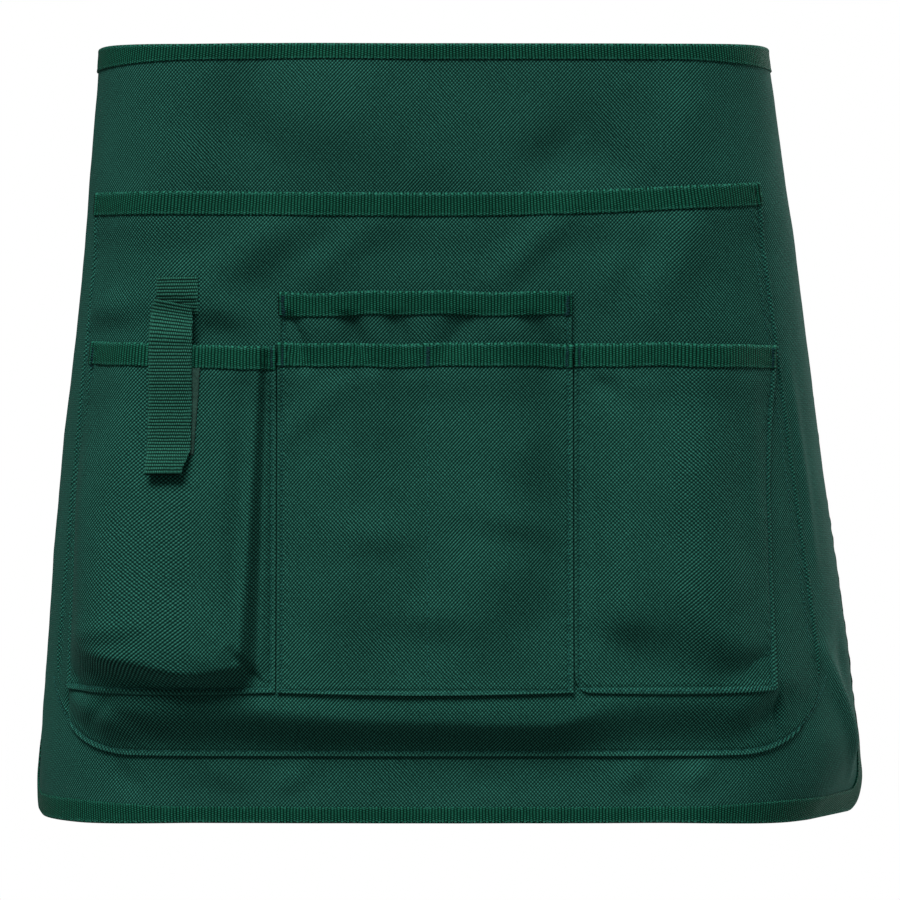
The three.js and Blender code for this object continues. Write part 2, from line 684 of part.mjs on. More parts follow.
// Buckle: a plain plate with a slot for each strap, so that each wraps an end bar
function buckle() {
  const halfWidth = BUCKLE_WIDTH / 2;
  const halfHeight = WEBBING_WIDTH / 2 + BUCKLE_BAR;
  const outline = new THREE.Shape();
  outline.moveTo(-halfWidth, -halfHeight + BUCKLE_BAR);
  outline.quadraticCurveTo(-halfWidth, -halfHeight, -halfWidth + BUCKLE_BAR, -halfHeight);
  outline.lineTo(halfWidth - BUCKLE_BAR, -halfHeight);
  outline.quadraticCurveTo(halfWidth, -halfHeight, halfWidth, -halfHeight + BUCKLE_BAR);
  outline.lineTo(halfWidth, halfHeight - BUCKLE_BAR);
  outline.quadraticCurveTo(halfWidth, halfHeight, halfWidth - BUCKLE_BAR, halfHeight);
  outline.lineTo(-halfWidth + BUCKLE_BAR, halfHeight);
  outline.quadraticCurveTo(-halfWidth, halfHeight, -halfWidth, halfHeight - BUCKLE_BAR);
  const plate = new THREE.ExtrudeGeometry(outline, {
    depth: BUCKLE_THICKNESS,
    bevelEnabled: false,
    curveSegments: 3,
  });
  const slotAt = halfWidth - BUCKLE_BAR - BUCKLE_SLOT / 2;
  const slots = [-slotAt, slotAt].map((x) => {
    const slot = new THREE.BoxGeometry(BUCKLE_SLOT, WEBBING_WIDTH + 4 * GAP, 3 * BUCKLE_THICKNESS);
    return solidOf(slot.translate(x, 0, 0));
  });
  const cut = slots.reduce((solid, slot) => solid.subtract(slot), solidOf(plate));
  const geometry = geometryOf(cut);
  geometry.rotateX(Math.PI / 2);
  geometry.translate(0, (WAIST_DEPTH + BUCKLE_THICKNESS) / 2, -STRAP_DROP - WEBBING_WIDTH / 2);
  return geometry;
}

const apron = new THREE.Group();

function addPiece(name, geometry, finish) {
  const mesh = new THREE.Mesh(geometry, new THREE.MeshStandardMaterial(FINISHES[finish]));
  mesh.name = name;
  apron.add(mesh);
}

const panelGrid = pocketGrid(panelAcross, panelDown, panelSpot);
addPiece('body_panel', clothSheet(bodyHeight, panelGrid, CLOTH), 'cloth');
addPiece('top_binding', foldedTape(bodyHeight, topStops()), 'binding');
addPiece('edge_binding', foldedTape(bodyHeight, outlineStops()), 'binding');

const pockets = [
  { name: 'large_pocket', height: largeHeight, across: largeAcross, down: largeDown, spot: largeSpot },
  { name: 'inner_pocket', height: innerHeight, across: innerAcross, down: innerDown, spot: innerSpot },
  { name: 'left_pocket', height: leftHeight, across: leftAcross, down: rowDown, spot: leftSpot },
  { name: 'middle_pocket', height: middleHeight, across: middleAcross, down: rowDown, spot: middleSpot },
  { name: 'right_pocket', height: rightHeight, across: rightAcross, down: rowDown, spot: rightSpot },
];
for (const { name, height, across, down, spot } of pockets) {
  addPiece(name, clothSheet(height, pocketGrid(across, down, spot), CLOTH), 'cloth');
  addPiece(`${name}_binding`, foldedTape(height, mouthStops(across, spot)), 'binding');
}

const loopTop = rowTop - TAPE_FOLD - 2 * GAP;
const loopGrid = stripGrid(loopHeight, loopTop, loopTop - LOOP_LENGTH, 5, LOOP_SHIFT);
addPiece('loop_tape', clothSheet(loopHeight, loopGrid, LOOP_THICKNESS), 'loop');
const strapGrid = stripGrid(strapHeight, strapTop, strapEnd, 18);
addPiece('closure_strap', clothSheet(strapHeight, strapGrid, WEBBING), 'webbing');

addPiece('waist_strap_left', waistStrap(-1), 'webbing');
addPiece('waist_strap_right', waistStrap(1), 'webbing');
addPiece('waist_buckle', buckle(), 'buckle');

export default apron;
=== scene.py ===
"""Gardening apron in its worn form: cloth, tape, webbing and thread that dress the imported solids."""

import logging
import math
from dataclasses import dataclass
from enum import Enum
from typing import Callable, Sequence

import bmesh
import bpy
import numpy as np
from mathutils import Matrix, Vector


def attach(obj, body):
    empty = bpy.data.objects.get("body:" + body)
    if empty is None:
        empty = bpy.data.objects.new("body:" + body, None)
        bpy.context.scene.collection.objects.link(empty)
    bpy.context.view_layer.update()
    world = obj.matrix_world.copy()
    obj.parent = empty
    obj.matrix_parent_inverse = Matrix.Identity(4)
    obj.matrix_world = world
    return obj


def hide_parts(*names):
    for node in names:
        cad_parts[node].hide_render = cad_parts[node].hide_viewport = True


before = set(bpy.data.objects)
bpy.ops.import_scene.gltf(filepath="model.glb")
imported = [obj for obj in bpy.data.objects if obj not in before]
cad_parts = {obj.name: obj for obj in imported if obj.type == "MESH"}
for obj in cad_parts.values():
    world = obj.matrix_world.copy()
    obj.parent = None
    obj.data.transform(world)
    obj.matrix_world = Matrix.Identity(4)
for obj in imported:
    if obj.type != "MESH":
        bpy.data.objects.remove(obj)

LOG = logging.getLogger("apron")
MM = 0.001

# Real folds are this many times as deep as the plain solids' folds.
FOLD_DEPTH = 1.6

Array = np.ndarray
Height = Callable[[Array, Array], Array]
Spot = Callable[[Array, Array], tuple[Array, Array]]
Marks = tuple[Array, Array, Array]
Colour = tuple[float, float, float]


def ramp(value: Array | float, low: Array | float, high: Array | float) -> Array:
    """Smooth step from 0 at low to 1 at high."""
    share = np.clip((value - low) / (high - low), 0.0, 1.0)
    return share * share * (3.0 - 2.0 * share)


def bell(value: Array | float, width: float) -> Array:
    """Rounded hump of height 1 about 0."""
    return np.exp(-np.square(value / width))


def mix(low: Array | float, high: Array | float, share: Array | float) -> Array:
    """Straight blend from low at share 0 to high at share 1."""
    return low + (high - low) * share


def unit(vectors: Array) -> Array:
    """The same directions with length 1."""
    return vectors / np.linalg.norm(vectors, axis=-1, keepdims=True)


def run_along(points: Array) -> Array:
    """Length of the line from its first point to each of its points."""
    return np.concatenate([[0.0], np.cumsum(np.linalg.norm(np.diff(points, axis=0), axis=1))])


@dataclass(frozen=True)
class Curve:
    """Smooth curve through the rows of a table, with no overshoot between them."""

    at: tuple[float, ...]
    value: tuple[float, ...]

    def __call__(self, where: Array) -> Array:
        """Reads the curve.

        Args:
            where: places along the table.

        Returns:
            The curve's value at each place.
        """
        at, value = np.array(self.at), np.array(self.value)
        slope = np.diff(value) / np.diff(at)
        before, after = slope[:-1], slope[1:]
        total = np.where(before + after == 0, 1.0, before + after)
        inner = np.where(before * after > 0, 2 * before * after / total, 0.0)
        tangent = np.concatenate([slope[:1], inner, slope[-1:]])
        x = np.clip(where, at[0], at[-1])
        row = np.clip(np.searchsorted(at, x, side="right") - 1, 0, len(at) - 2)
        span = np.diff(at)[row]
        t = (x - at[row]) / span
        rise = t * t * (3.0 - 2.0 * t)
        swing = (1.0 - t) * tangent[row] - t * tangent[row + 1]
        return mix(value[row], value[row + 1], rise) + span * t * (1.0 - t) * swing


@dataclass(frozen=True)
class Fold:
    """Ridge or valley between two places of the cloth, in millimetres.

    A skew above 0 raises the side to the left of its run and lowers the other side.
    """

    start: tuple[float, float]
    end: tuple[float, float]
    width: float
    rise: float
    skew: float = 0.0

    def height(self, s: Array, z: Array) -> Array:
        """Stand-off that the fold adds at each place.

        Args:
            s: places across the cloth.
            z: heights.

        Returns:
            The millimetres to add at each place.
        """
        run = np.array(self.end) - np.array(self.start)
        ds, dz = s - self.start[0], z - self.start[1]
        share = np.clip((ds * run[0] + dz * run[1]) / float(run @ run), 0.0, 1.0)
        away = np.hypot(ds - share * run[0], dz - share * run[1])
        taper = 0.35 + 0.65 * np.sin(np.pi * np.clip(share, 0.04, 0.96))
        side = (dz * run[0] - ds * run[1]) / float(np.hypot(*run)) / self.width
        return FOLD_DEPTH * self.rise * taper * bell(away, self.width) * (1 + self.skew * side)


def folds_height(folds: Sequence[Fold], s: Array, z: Array) -> Array:
    """Sum of several folds at each place."""
    return sum((fold.height(s, z) for fold in folds), np.zeros_like(s * z))


@dataclass(frozen=True)
class Ripples:
    """Gentle unevenness of hung cloth, made of crossing waves with fixed phases."""

    length: float
    rise: float
    seed: int
    waves: int = 7

    def height(self, s: Array, z: Array) -> Array:
        """Stand-off of the waves at each place.

        Args:
            s: places across the cloth.
            z: heights.

        Returns:
            The millimetres to add at each place.
        """
        rng = np.random.default_rng(self.seed)
        total = np.zeros_like(s * z)
        for _ in range(self.waves):
            heading, phase = rng.uniform(0, math.pi), rng.uniform(0, 2 * math.pi)
            wave = 2 * math.pi / (self.length * rng.uniform(0.7, 1.6))
            total = total + np.sin(wave * (s * math.cos(heading) + z * math.sin(heading)) + phase)
        return self.rise * total / math.sqrt(self.waves)


@dataclass
class Wrap:
    """How the panel wraps a waist: sizes in millimetres, tables as shares of them."""

    height: float = 418.0
    waist_depth: float = 250.0
    waist_reach: float = 245.0
    hem_reach: float = 320.0
    front_reach: float = 126.0
    front_radius: float = 3000.0
    side_radius: float = 80.0
    hem_corner: float = 22.0
    top_bow: float = 2.0
    hem_bow: float = 2.0
    drops: tuple[float, ...] = (0.0, 0.12, 0.25, 0.5, 0.84, 0.9, 0.95, 1.01)
    left_front: tuple[float, ...] = (0.96, 0.974, 0.976, 1.008, 1.031, 1.035, 1.026, 1.006)
    left_radius: tuple[float, ...] = (0.825, 0.86, 0.913, 1.0, 1.125, 1.15, 1.175, 1.19)
    left_turn: tuple[float, ...] = (1.22, 1.2, 1.17, 1.1, 0.99, 0.955, 0.935, 0.91)
    right_front: tuple[float, ...] = (0.99, 0.998, 1.008, 1.014, 1.04, 1.05, 1.055, 1.02)
    right_radius: tuple[float, ...] = (0.775, 0.855, 0.95, 1.125, 1.35, 1.37, 1.28, 1.12)
    right_turn: tuple[float, ...] = (1.22, 1.2, 1.18, 1.13, 1.03, 0.94, 0.83, 0.72)

    def reach(self, z: Array) -> Array:
        """Half width of the panel along the cloth."""
        return mix(self.waist_reach, self.hem_reach, -z / self.height)

    def side_share(self, s: Array) -> Array:
        """0 on the flat front, 1 where the sides turn back."""
        return ramp(np.abs(s), self.front_reach, self.front_reach + self.side_radius)

    def sided(self, s: Array, drop: Array, left: tuple[float, ...], right: tuple[float, ...]) -> Array:
        """One table's value on the side that each place is on."""
        return np.where(s < 0, Curve(self.drops, left)(drop), Curve(self.drops, right)(drop))

    def place(self, s: Array, z: Array, h: Array) -> Array:
        """Points of the worn surface.

        Args:
            s: distance along the cloth from centre front, positive to the viewer's right.
            z: height, 0 at the top edge.
            h: stand-off, outwards.

        Returns:
            An array of points, in millimetres.
        """
        s, z, h = np.broadcast_arrays(s, z, h)
        drop = -z / self.height
        front = self.sided(s, drop, self.left_front, self.right_front) * self.front_reach
        radius = self.sided(s, drop, self.left_radius, self.right_radius) * self.side_radius
        turn = self.sided(s, drop, self.left_turn, self.right_turn) * math.pi / 2
        along = np.abs(s)
        bend = np.minimum(along, front) / self.front_radius
        heading = np.clip(bend + (along - front) / radius, bend, np.maximum(turn, bend))
        straight = np.maximum(along - front - radius * (heading - bend), 0.0)
        across = self.front_radius * np.sin(bend) + radius * (np.sin(heading) - np.sin(bend))
        across = across + straight * np.cos(heading) + h * np.sin(heading)
        back = self.front_radius * (1 - np.cos(bend)) + radius * (np.cos(bend) - np.cos(heading))
        back = back + straight * np.sin(heading) - h * np.cos(heading)
        return np.stack([np.sign(s) * across, back - self.waist_depth / 2, z], axis=-1)

    def surface(self, height: Height, s: Array, z: Array) -> tuple[Array, Array]:
        """Points of a layer given by its stand-off, and its outward directions there.

        Args:
            height: the layer's stand-off at each place.
            s: places across.
            z: places down.

        Returns:
            The points and their unit normals.
        """
        step = 0.4

        def at(s: Array, z: Array) -> Array:
            """Point of the layer."""
            return self.place(s, z, height(s, z))

        right = at(s + step, z) - at(s - step, z)
        up = at(s, z + step) - at(s, z - step)
        return at(s, z), unit(np.cross(right, up))


@dataclass
class Layers:
    """The stack of cloth: where each layer runs and how far it stands off, in millimetres."""

    wrap: Wrap
    cloth: float = 1.0
    tape: float = 0.7
    clear: float = 0.12
    bound_seat: float = 1.4
    tape_fold: float = 11.5
    tape_shift: float = 4.0
    hem_margin: float = 35.0
    large_height: float = 302.0
    side_inset: float = 70.0
    large_corner: float = 68.0
    large_corner_rise: float = 56.0
    large_bulge: float = 16.0
    inset_at_mouth: tuple[float, float] = (0.92, 1.12)
    inset_at_foot: float = 1.17
    mouth_rise: tuple[float, float] = (0.008, 0.024)
    row_rise: float = 35.0
    row_height: float = 186.0
    inner_step: float = 27.5
    left_bulge: float = 23.0
    right_bulge: float = 13.0
    middle_bulge: float = 6.5
    inner_bulge: float = 5.5
    gusset: float = 8.0
    left_flare: float = 14.4
    right_taper: float = 6.0
    middle_sag: float = 1.5
    row_gap: float = 1.8
    seam_hold: float = 1.5
    seam_fade: float = 5.0
    left_outer_share: float = -0.941
    left_inner_share: float = -0.407
    stitch_share: float = -0.015
    right_inner_share: float = 0.383
    right_outer_share: float = 0.972
    large_foot: Curve = Curve((-190, -120, -40, 60, 110, 170), (27, 30, 22, 19, 34, 36))
    large_full: Curve = Curve((0, 0.3, 0.6, 0.85, 0.94, 1), (0.36, 0.36, 0.52, 0.84, 1, 0.96))
    left_foot: Curve = Curve((0, 0.2, 0.4, 0.65, 0.85, 1), (1.0, 1.1, 0.85, 0.5, 0.7, 0.9))
    left_full: Curve = Curve((0, 0.3, 0.6, 0.82, 1), (0.33, 0.6, 0.92, 1, 0.86))
    right_foot: Curve = Curve((0, 0.5, 0.7, 0.85, 1), (5.0, 4.5, 2.6, 2.0, 1.8))
    right_full: Curve = Curve((0, 0.4, 0.8, 1), (0.55, 0.8, 1, 0.8))
    ripples: Ripples = Ripples(46, 0.4, 5)
    fine: Ripples = Ripples(17, 0.05, 11, 9)
    body_folds: tuple[Fold, ...] = (
        Fold((231, -330), (280, -396), 7, 2.6),
        Fold((252, -322), (262, -350), 9, -1.2),
        Fold((-256, -126), (-275, -357), 16, 2.0),
        Fold((-118, -10), (-95, -66), 14, -2.4),
        Fold((-95, -8), (-10, -58), 28, 4.2),
        Fold((50, -74), (80, -50), 15, -2.8),
        Fold((80, -50), (110, -74), 15, -2.8),
        Fold((138, -20), (128, -72), 14, 1.6),
        Fold((206, -171), (226, -279), 5, 1.0),
        Fold((-176, -386), (-160, -408), 6, -1.6),
        Fold((-120, -386), (-100, -406), 7, 1.4),
        Fold((-70, -388), (-86, -408), 7, 1.4),
        Fold((20, -390), (36, -406), 8, -0.9),
        Fold((112, -386), (98, -408), 7, 1.4),
        Fold((150, -386), (136, -404), 6, 1.4),
    )
    large_folds: tuple[Fold, ...] = (
        Fold((-176, -352), (-148, -372), 6, -1.2),
        Fold((192, -353), (170, -368), 8, -2.8),
        Fold((118, -142), (140, -90), 14, 2.8),
        Fold((-128, -130), (-66, -92), 13, 2.6),
        Fold((-74, -130), (-30, -96), 10, 1.6),
        Fold((34, -126), (70, -92), 9, 2.2),
        Fold((92, -134), (104, -104), 8, 1.2),
        Fold((-60, -366), (75, -368), 7, -1.0),
        Fold((186, -345), (188, -374), 2.2, -1.0, 0.8),
        Fold((-209, -347), (-211, -365), 2.2, -1.2),
        Fold((-166, -349), (-186, -366), 4, -1.6),
        Fold((-202, -340), (-182, -352), 7, -1.6),
        Fold((-200, -148), (-156, -145), 11, 0.4, 7.0),
        Fold((-136, -147), (-98, -149), 11, 0.4, 6.0),
        Fold((-118, -134), (-96, -158), 8, 0.9),
    )
    inner_folds: tuple[Fold, ...] = (
        Fold((-81, -142), (-69, -172), 5, -3.0, 0.6),
        Fold((-49, -142), (-37, -172), 6, -3.0, 0.6),
        Fold((-24, -142), (-12, -172), 7, -2.4),
        Fold((20, -142), (4, -170), 8, -2.2),
        Fold((48, -142), (66, -172), 7, -2.4),
    )
    left_folds: tuple[Fold, ...] = (
        Fold((-106, -325), (-93, -341), 2.6, -2.4, -0.8),
        Fold((-112, -318), (-104, -330), 6, 1.4),
        Fold((-192, -189), (-186, -310), 14, 2.0),
        Fold((-101, -180), (-104, -320), 7, -2.4),
        Fold((-186, -322), (-150, -316), 7, 0.3, 5.0),
        Fold((-170, -336), (-140, -338), 6, -1.2),
        Fold((-130, -326), (-112, -334), 6, 0.9),
    )
    middle_folds: tuple[Fold, ...] = (
        Fold((-46, -180), (-84, -216), 9, 1.9),
        Fold((-46, -268), (-12, -270), 12, 0.3, 6.0),
        Fold((-16, -312), (20, -314), 12, 0.3, 6.0),
        Fold((24, -256), (60, -266), 10, 0.3, 6.0),
        Fold((58, -200), (40, -236), 12, 1.0),
        Fold((-78, -180), (-76, -300), 4, -0.5),
    )
    right_folds: tuple[Fold, ...] = (
        Fold((109, -193), (160, -310), 24, 2.0),
        Fold((160, -337), (183, -333), 8, -2.2),
        Fold((84, -172), (99, -192), 7, -1.8),
        Fold((84, -190), (86, -320), 5, -1.0),
        Fold((90, -312), (118, -318), 12, 0.3, 6.0),
        Fold((170, -180), (176, -300), 9, 1.2),
    )

    def __post_init__(self) -> None:
        """Works out the heights and upright seams that several layers share."""
        self.seat = self.cloth + self.clear
        self.large_bottom = -self.wrap.height + self.hem_margin
        self.large_top = self.large_bottom + self.large_height
        self.row_bottom = self.large_bottom + self.row_rise
        self.row_top = self.row_bottom + self.row_height
        self.inner_top = self.row_top + self.inner_step
        left, right = (float(self.large_side(np.float64(x), self.row_top)) for x in (-1.0, 1.0))
        self.left_outer_seam = self.left_outer_share * left
        self.left_inner_seam = self.left_inner_share * left
        self.stitch_seam = self.stitch_share * left
        self.right_inner_seam = self.right_inner_share * right
        self.right_outer_seam = self.right_outer_share * right

    def uneven(self, s: Array, z: Array) -> Array:
        """Slight unevenness that every layer shares."""
        calm = 1 - 0.7 * self.wrap.side_share(s)
        return self.ripples.height(s, z) * calm + self.fine.height(s, z)

    @staticmethod
    def slack(s: Array) -> Array:
        """Small rise and fall of a pocket's mouth, which hangs a little loose."""
        return 0.35 * np.sin(s / 17.0) + 0.25 * np.sin(s / 7.3 + 1.0)

    def top_line(self, s: Array) -> Array:
        """Height of the panel's top edge."""
        return self.wrap.top_bow * self.wrap.side_share(s)

    def hem_line(self, s: Array) -> Array:
        """Height of the panel's hem, corners left out."""
        return -self.wrap.height - self.wrap.hem_bow * self.wrap.side_share(s)

    @staticmethod
    def corner_rise(inside: Array, width: float, rise: float) -> Array:
        """Height that a rounded corner takes off an edge, at a distance inside the side."""
        share = np.clip(1 - inside / width, 0.0, 1.0)
        return rise * (1 - np.sqrt(1 - share**2))

    def large_side(self, s: Array, z: Array) -> Array:
        """Half width of the large pocket on the side of s.

        Args:
            s: places whose sign gives the side.
            z: heights.

        Returns:
            The half width at each place.
        """
        down = np.clip((self.large_top - z) / self.large_height, 0.0, 1.0)
        inset = mix(np.where(s < 0, *self.inset_at_mouth), self.inset_at_foot, down)
        return self.wrap.reach(z) - self.side_inset * inset

    def large_mouth(self, s: Array) -> Array:
        """Height of the large pocket's mouth."""
        rise = self.large_height * np.where(s < 0, *self.mouth_rise)
        return self.large_top + rise * (s / self.large_side(s, self.large_top)) ** 2

    def large_seam(self, s: Array) -> Array:
        """Height of the large pocket's bottom seam."""
        inside = self.large_side(s, self.large_bottom) - np.abs(s)
        return self.large_bottom + self.corner_rise(inside, self.large_corner, self.large_corner_rise)

    def seat_below(self, mouth: Array | float, z: Array) -> Array:
        """A bound mouth stands further off than a plain seam, by the tape behind it."""
        near = 1 - ramp(mouth - z, 1.2 * self.tape_fold, 3 * self.tape_fold)
        return self.seat + self.bound_seat * near

    @staticmethod
    def lip(inside: Array, s: Array, z: Array) -> Array:
        """Turned-under edge of a sewn seam, the groove of its stitches and the puckers behind.

        Args:
            inside: distance inside the seam's edge.
            s: places across.
            z: places down.

        Returns:
            The stand-off that the seam adds.
        """
        pucker = np.sin(0.95 * (s + z) + 1.7 * np.sin(0.13 * (s - z)))
        turned_under = (0.6 + 0.15 * pucker) * bell(inside - 0.3, 1.2)
        groove = (0.55 + 0.25 * pucker) * bell(inside - 2.6, 0.9)
        return turned_under - groove + 0.3 * pucker * bell(inside - 5.0, 2.2)

    def body(self, s: Array, z: Array) -> Array:
        """Stand-off of the panel, whose folds end inside the stiff tape.

        Args:
            s: places across the cloth.
            z: heights.

        Returns:
            The stand-off at each place.
        """
        inside = np.minimum(self.wrap.reach(z) - np.abs(s), z - self.hem_line(s))
        fade = ramp(inside, 0.8 * self.tape_fold, 2.4 * self.tape_fold)
        return self.uneven(s, z) + fade * folds_height(self.body_folds, s, z)

    def large_edge(self, s: Array, z: Array) -> Array:
        """Distance inside the sewn edge of the large pocket."""
        return np.minimum(self.large_side(s, z) - np.abs(s), 0.9 * (z - self.large_seam(s)))

    def large(self, s: Array, z: Array) -> Array:
        """Stand-off of the large pocket.

        Args:
            s: places across the cloth.
            z: heights.

        Returns:
            The stand-off at each place.
        """
        edge = ramp(self.large_side(s, z) - np.abs(s), 2, self.large_corner)
        edge = edge * ramp(z - self.large_seam(s), self.seam_hold, self.large_foot(s))
        flatter_right = 1 - 0.3 * bell(s - 150, 70)
        full = self.large_full((self.large_mouth(s) - z) / self.large_height) * flatter_right
        inside = self.large_edge(s, z)
        folds = folds_height(self.large_folds, s, z) * ramp(inside, 0, 1.2 * self.seam_fade)
        seat = self.seat_below(self.large_mouth(s), z) + self.lip(inside, s, z)
        return self.body(s, z) + seat + edge * full * self.large_bulge + folds

    def row_full(self, full: Curve, z: Array, foot: Array) -> Array:
        """Fullness of a small pocket from its mouth down, nothing at its bottom seam."""
        down = (self.row_top - z) / self.row_height
        return full(down) * ramp(z - self.row_bottom, self.seam_hold, foot)

    def below_tape(self, mouth: float, z: Array) -> Array:
        """Folds of a pocket end below the stiff tape of its mouth."""
        return ramp(mouth - z, self.tape_fold, 2 * self.tape_fold)

    def left_outer(self, z: Array) -> Array:
        """Outer seam of the left pocket, which flares out below its mouth."""
        return self.left_outer_seam - self.left_flare * ramp(self.row_top - z, 0, self.row_height * 0.45)

    def right_outer(self, z: Array) -> Array:
        """Outer seam of the right pocket, which runs in below its mouth."""
        return self.right_outer_seam - self.right_taper * ramp(self.row_top - z, 0, self.row_height * 0.45)

    def left(self, s: Array, z: Array) -> Array:
        """Stand-off of the left pocket.

        Args:
            s: places across the cloth.
            z: heights.

        Returns:
            The stand-off at each place.
        """
        behind = self.large(s, z) + self.seat_below(self.row_top, z)
        from_seam = self.left_inner_seam - self.row_gap / 2 - s
        from_side = s - self.left_outer(z)
        down = np.clip((self.row_top - z) / self.row_height, 0.0, 1.0)
        wide = self.gusset * mix(0.6, 1.35, down)
        # The gusset starts shallow beside its seam, stands up steeply and then rounds off.
        start = 0.12 * ramp(from_seam, 0.1 * wide, 0.9 * wide)
        steep = 0.6 * ramp(from_seam, 0.9 * wide, 1.9 * wide)
        crown = 0.28 * ramp(from_seam, wide, 7 * self.gusset)
        across = (start + steep + crown) * ramp(from_side, 0, 6 * self.gusset)
        share = np.clip(from_side / np.maximum(from_side + from_seam, 1.0), 0.0, 1.0)
        full = self.row_full(self.left_full, z, self.left_bulge * self.left_foot(share))
        folds = self.below_tape(self.row_top, z) * folds_height(self.left_folds, s, z)
        inside = np.minimum(np.minimum(from_seam, from_side), z - self.row_bottom)
        folds = folds * ramp(inside, 0, self.seam_fade)
        return behind + across * full * self.left_bulge + folds + self.lip(inside, s, z)

    def right(self, s: Array, z: Array) -> Array:
        """Stand-off of the right pocket.

        Args:
            s: places across the cloth.
            z: heights.

        Returns:
            The stand-off at each place.
        """
        behind = self.large(s, z) + self.seat_below(self.row_top, z)
        across = ramp(s - self.right_inner_seam, 2, 4 * self.gusset)
        across = across * ramp(self.right_outer(z) - s, 0, 6 * self.gusset)
        width = self.right_outer(z) - self.right_inner_seam
        share = np.clip((s - self.right_inner_seam) / width, 0.0, 1.0)
        full = self.row_full(self.right_full, z, self.right_bulge * self.right_foot(share))
        folds = self.below_tape(self.row_top, z) * folds_height(self.right_folds, s, z)
        from_seam = s - self.right_inner_seam - self.row_gap / 2
        inside = np.minimum(np.minimum(from_seam, self.right_outer(z) - s), z - self.row_bottom)
        folds = folds * ramp(inside, 0, self.seam_fade)
        return behind + across * full * self.right_bulge + folds + self.lip(inside, s, z)

    def inner(self, s: Array, z: Array) -> Array:
        """Stand-off of the inner pocket.

        Args:
            s: places across the cloth.
            z: heights.

        Returns:
            The stand-off at each place.
        """
        inset = np.minimum(s - self.left_inner_seam, self.right_inner_seam - s)
        foot = ramp(z - self.row_bottom, 0, 12 * self.inner_bulge)
        full = ramp(inset, 0, 4 * self.gusset) * foot
        near = ramp(self.inner_top - z, 0.6 * self.tape_fold, 1.3 * self.tape_fold)
        folds = near * folds_height(self.inner_folds, s, z)
        behind = self.large(s, z) + self.seat_below(self.inner_top, z)
        lip = self.lip(inset, s, z) * ramp(z, self.row_top - 4, self.row_top + 2)
        return behind + full * self.inner_bulge + folds * ramp(inset, 0, self.seam_fade) + lip

    def middle(self, s: Array, z: Array) -> Array:
        """Stand-off of the middle pocket with its two cells.

        Args:
            s: places across the cloth.
            z: heights.

        Returns:
            The stand-off at each place.
        """
        side = np.minimum(s - self.left_inner_seam, self.right_inner_seam - s)
        inset = np.minimum(side, np.abs(s - self.stitch_seam))
        foot = ramp(z - self.row_bottom, self.seam_hold, 12 * self.middle_bulge)
        full = ramp(inset, 1, 6 * self.gusset) * foot
        folds = self.below_tape(self.row_top, z) * folds_height(self.middle_folds, s, z)
        folds = folds * ramp(side, 0, self.seam_fade)
        behind = self.inner(s, z) + self.seat_below(self.row_top, z)
        inside = np.minimum(side, z - self.row_bottom + self.middle_sag)
        stitched = 0.35 * bell(s - self.stitch_seam, 0.9)
        return behind + full * self.middle_bulge + folds + self.lip(inside, s, z) - stitched


class Wire:
    """A socket of a material's nodes, with arithmetic that adds Math nodes."""

    def __init__(self, paint: "Nodes", socket: bpy.types.NodeSocket) -> None:
        """Wraps one output socket."""
        self.paint = paint
        self.socket = socket

    def math(self, operation: str, *others: "Wire | float") -> "Wire":
        """Adds a Math node.

        Args:
            operation: the node's operation.
            others: its further inputs.

        Returns:
            The node's output.
        """
        inputs = dict(enumerate((self, *others)))
        node = self.paint.node("ShaderNodeMath", {"operation": operation}, inputs)
        return Wire(self.paint, node.outputs[0])

    def __add__(self, other: "Wire | float") -> "Wire":
        """Sum."""
        return self.math("ADD", other)

    __radd__ = __add__

    def __mul__(self, other: "Wire | float") -> "Wire":
        """Product."""
        return self.math("MULTIPLY", other)

    __rmul__ = __mul__

    def __sub__(self, other: "Wire | float") -> "Wire":
        """Difference."""
        return self.math("SUBTRACT", other)

    def __rsub__(self, other: float) -> "Wire":
        """Difference from a number."""
        return self.math("MULTIPLY_ADD", -1.0, other)

    def __truediv__(self, other: "Wire | float") -> "Wire":
        """Quotient."""
        return self.math("DIVIDE", other)

    def __mod__(self, other: float) -> "Wire":
        """Remainder that is never below 0."""
        return self.math("FLOORED_MODULO", other)

    def __abs__(self) -> "Wire":
        """Size without sign."""
        return self.math("ABSOLUTE")

    def wave(self) -> "Wire":
        """Sine of half a turn per unit."""
        return (self * math.pi).math("SINE")

    def floor(self) -> "Wire":
        """Whole part."""
        return self.math("FLOOR")

    def power(self, other: float) -> "Wire":
        """Power."""
        return self.math("POWER", other)

    def at_least(self, other: "Wire | float") -> "Wire":
        """The larger of the two."""
        return self.math("MAXIMUM", other)

    def at_most(self, other: "Wire | float") -> "Wire":
        """The smaller of the two."""
        return self.math("MINIMUM", other)


class Nodes:
    """A tree of shader nodes."""

    def __init__(self, tree: bpy.types.NodeTree) -> None:
        """Empties the tree."""
        self.tree = tree
        self.tree.nodes.clear()

    def node(self, kind: str, settings: dict[str, str], inputs: dict) -> bpy.types.Node:
        """Adds a node.

        Args:
            kind: the node's type.
            settings: its properties, set first.
            inputs: a number, colour or Wire for each input, by name, place or identifier.

        Returns:
            The new node.
        """
        node = self.tree.nodes.new(kind)
        for key, value in settings.items():
            setattr(node, key, value)
        for key, value in inputs.items():
            self.feed(node, key, value)
        return node

    def feed(self, node: bpy.types.Node, key: int | str, value: object) -> None:
        """Links or sets one input of a node.

        Args:
            node: the node.
            key: the input's place, identifier or name.
            value: a Wire to link, or a plain value to set.
        """
        if isinstance(key, int):
            socket = node.inputs[key]
        else:
            named = [x for x in node.inputs if x.identifier == key]
            socket = named[0] if named else node.inputs[key]
        if isinstance(value, Wire):
            self.tree.links.new(value.socket, socket)
        else:
            socket.default_value = value


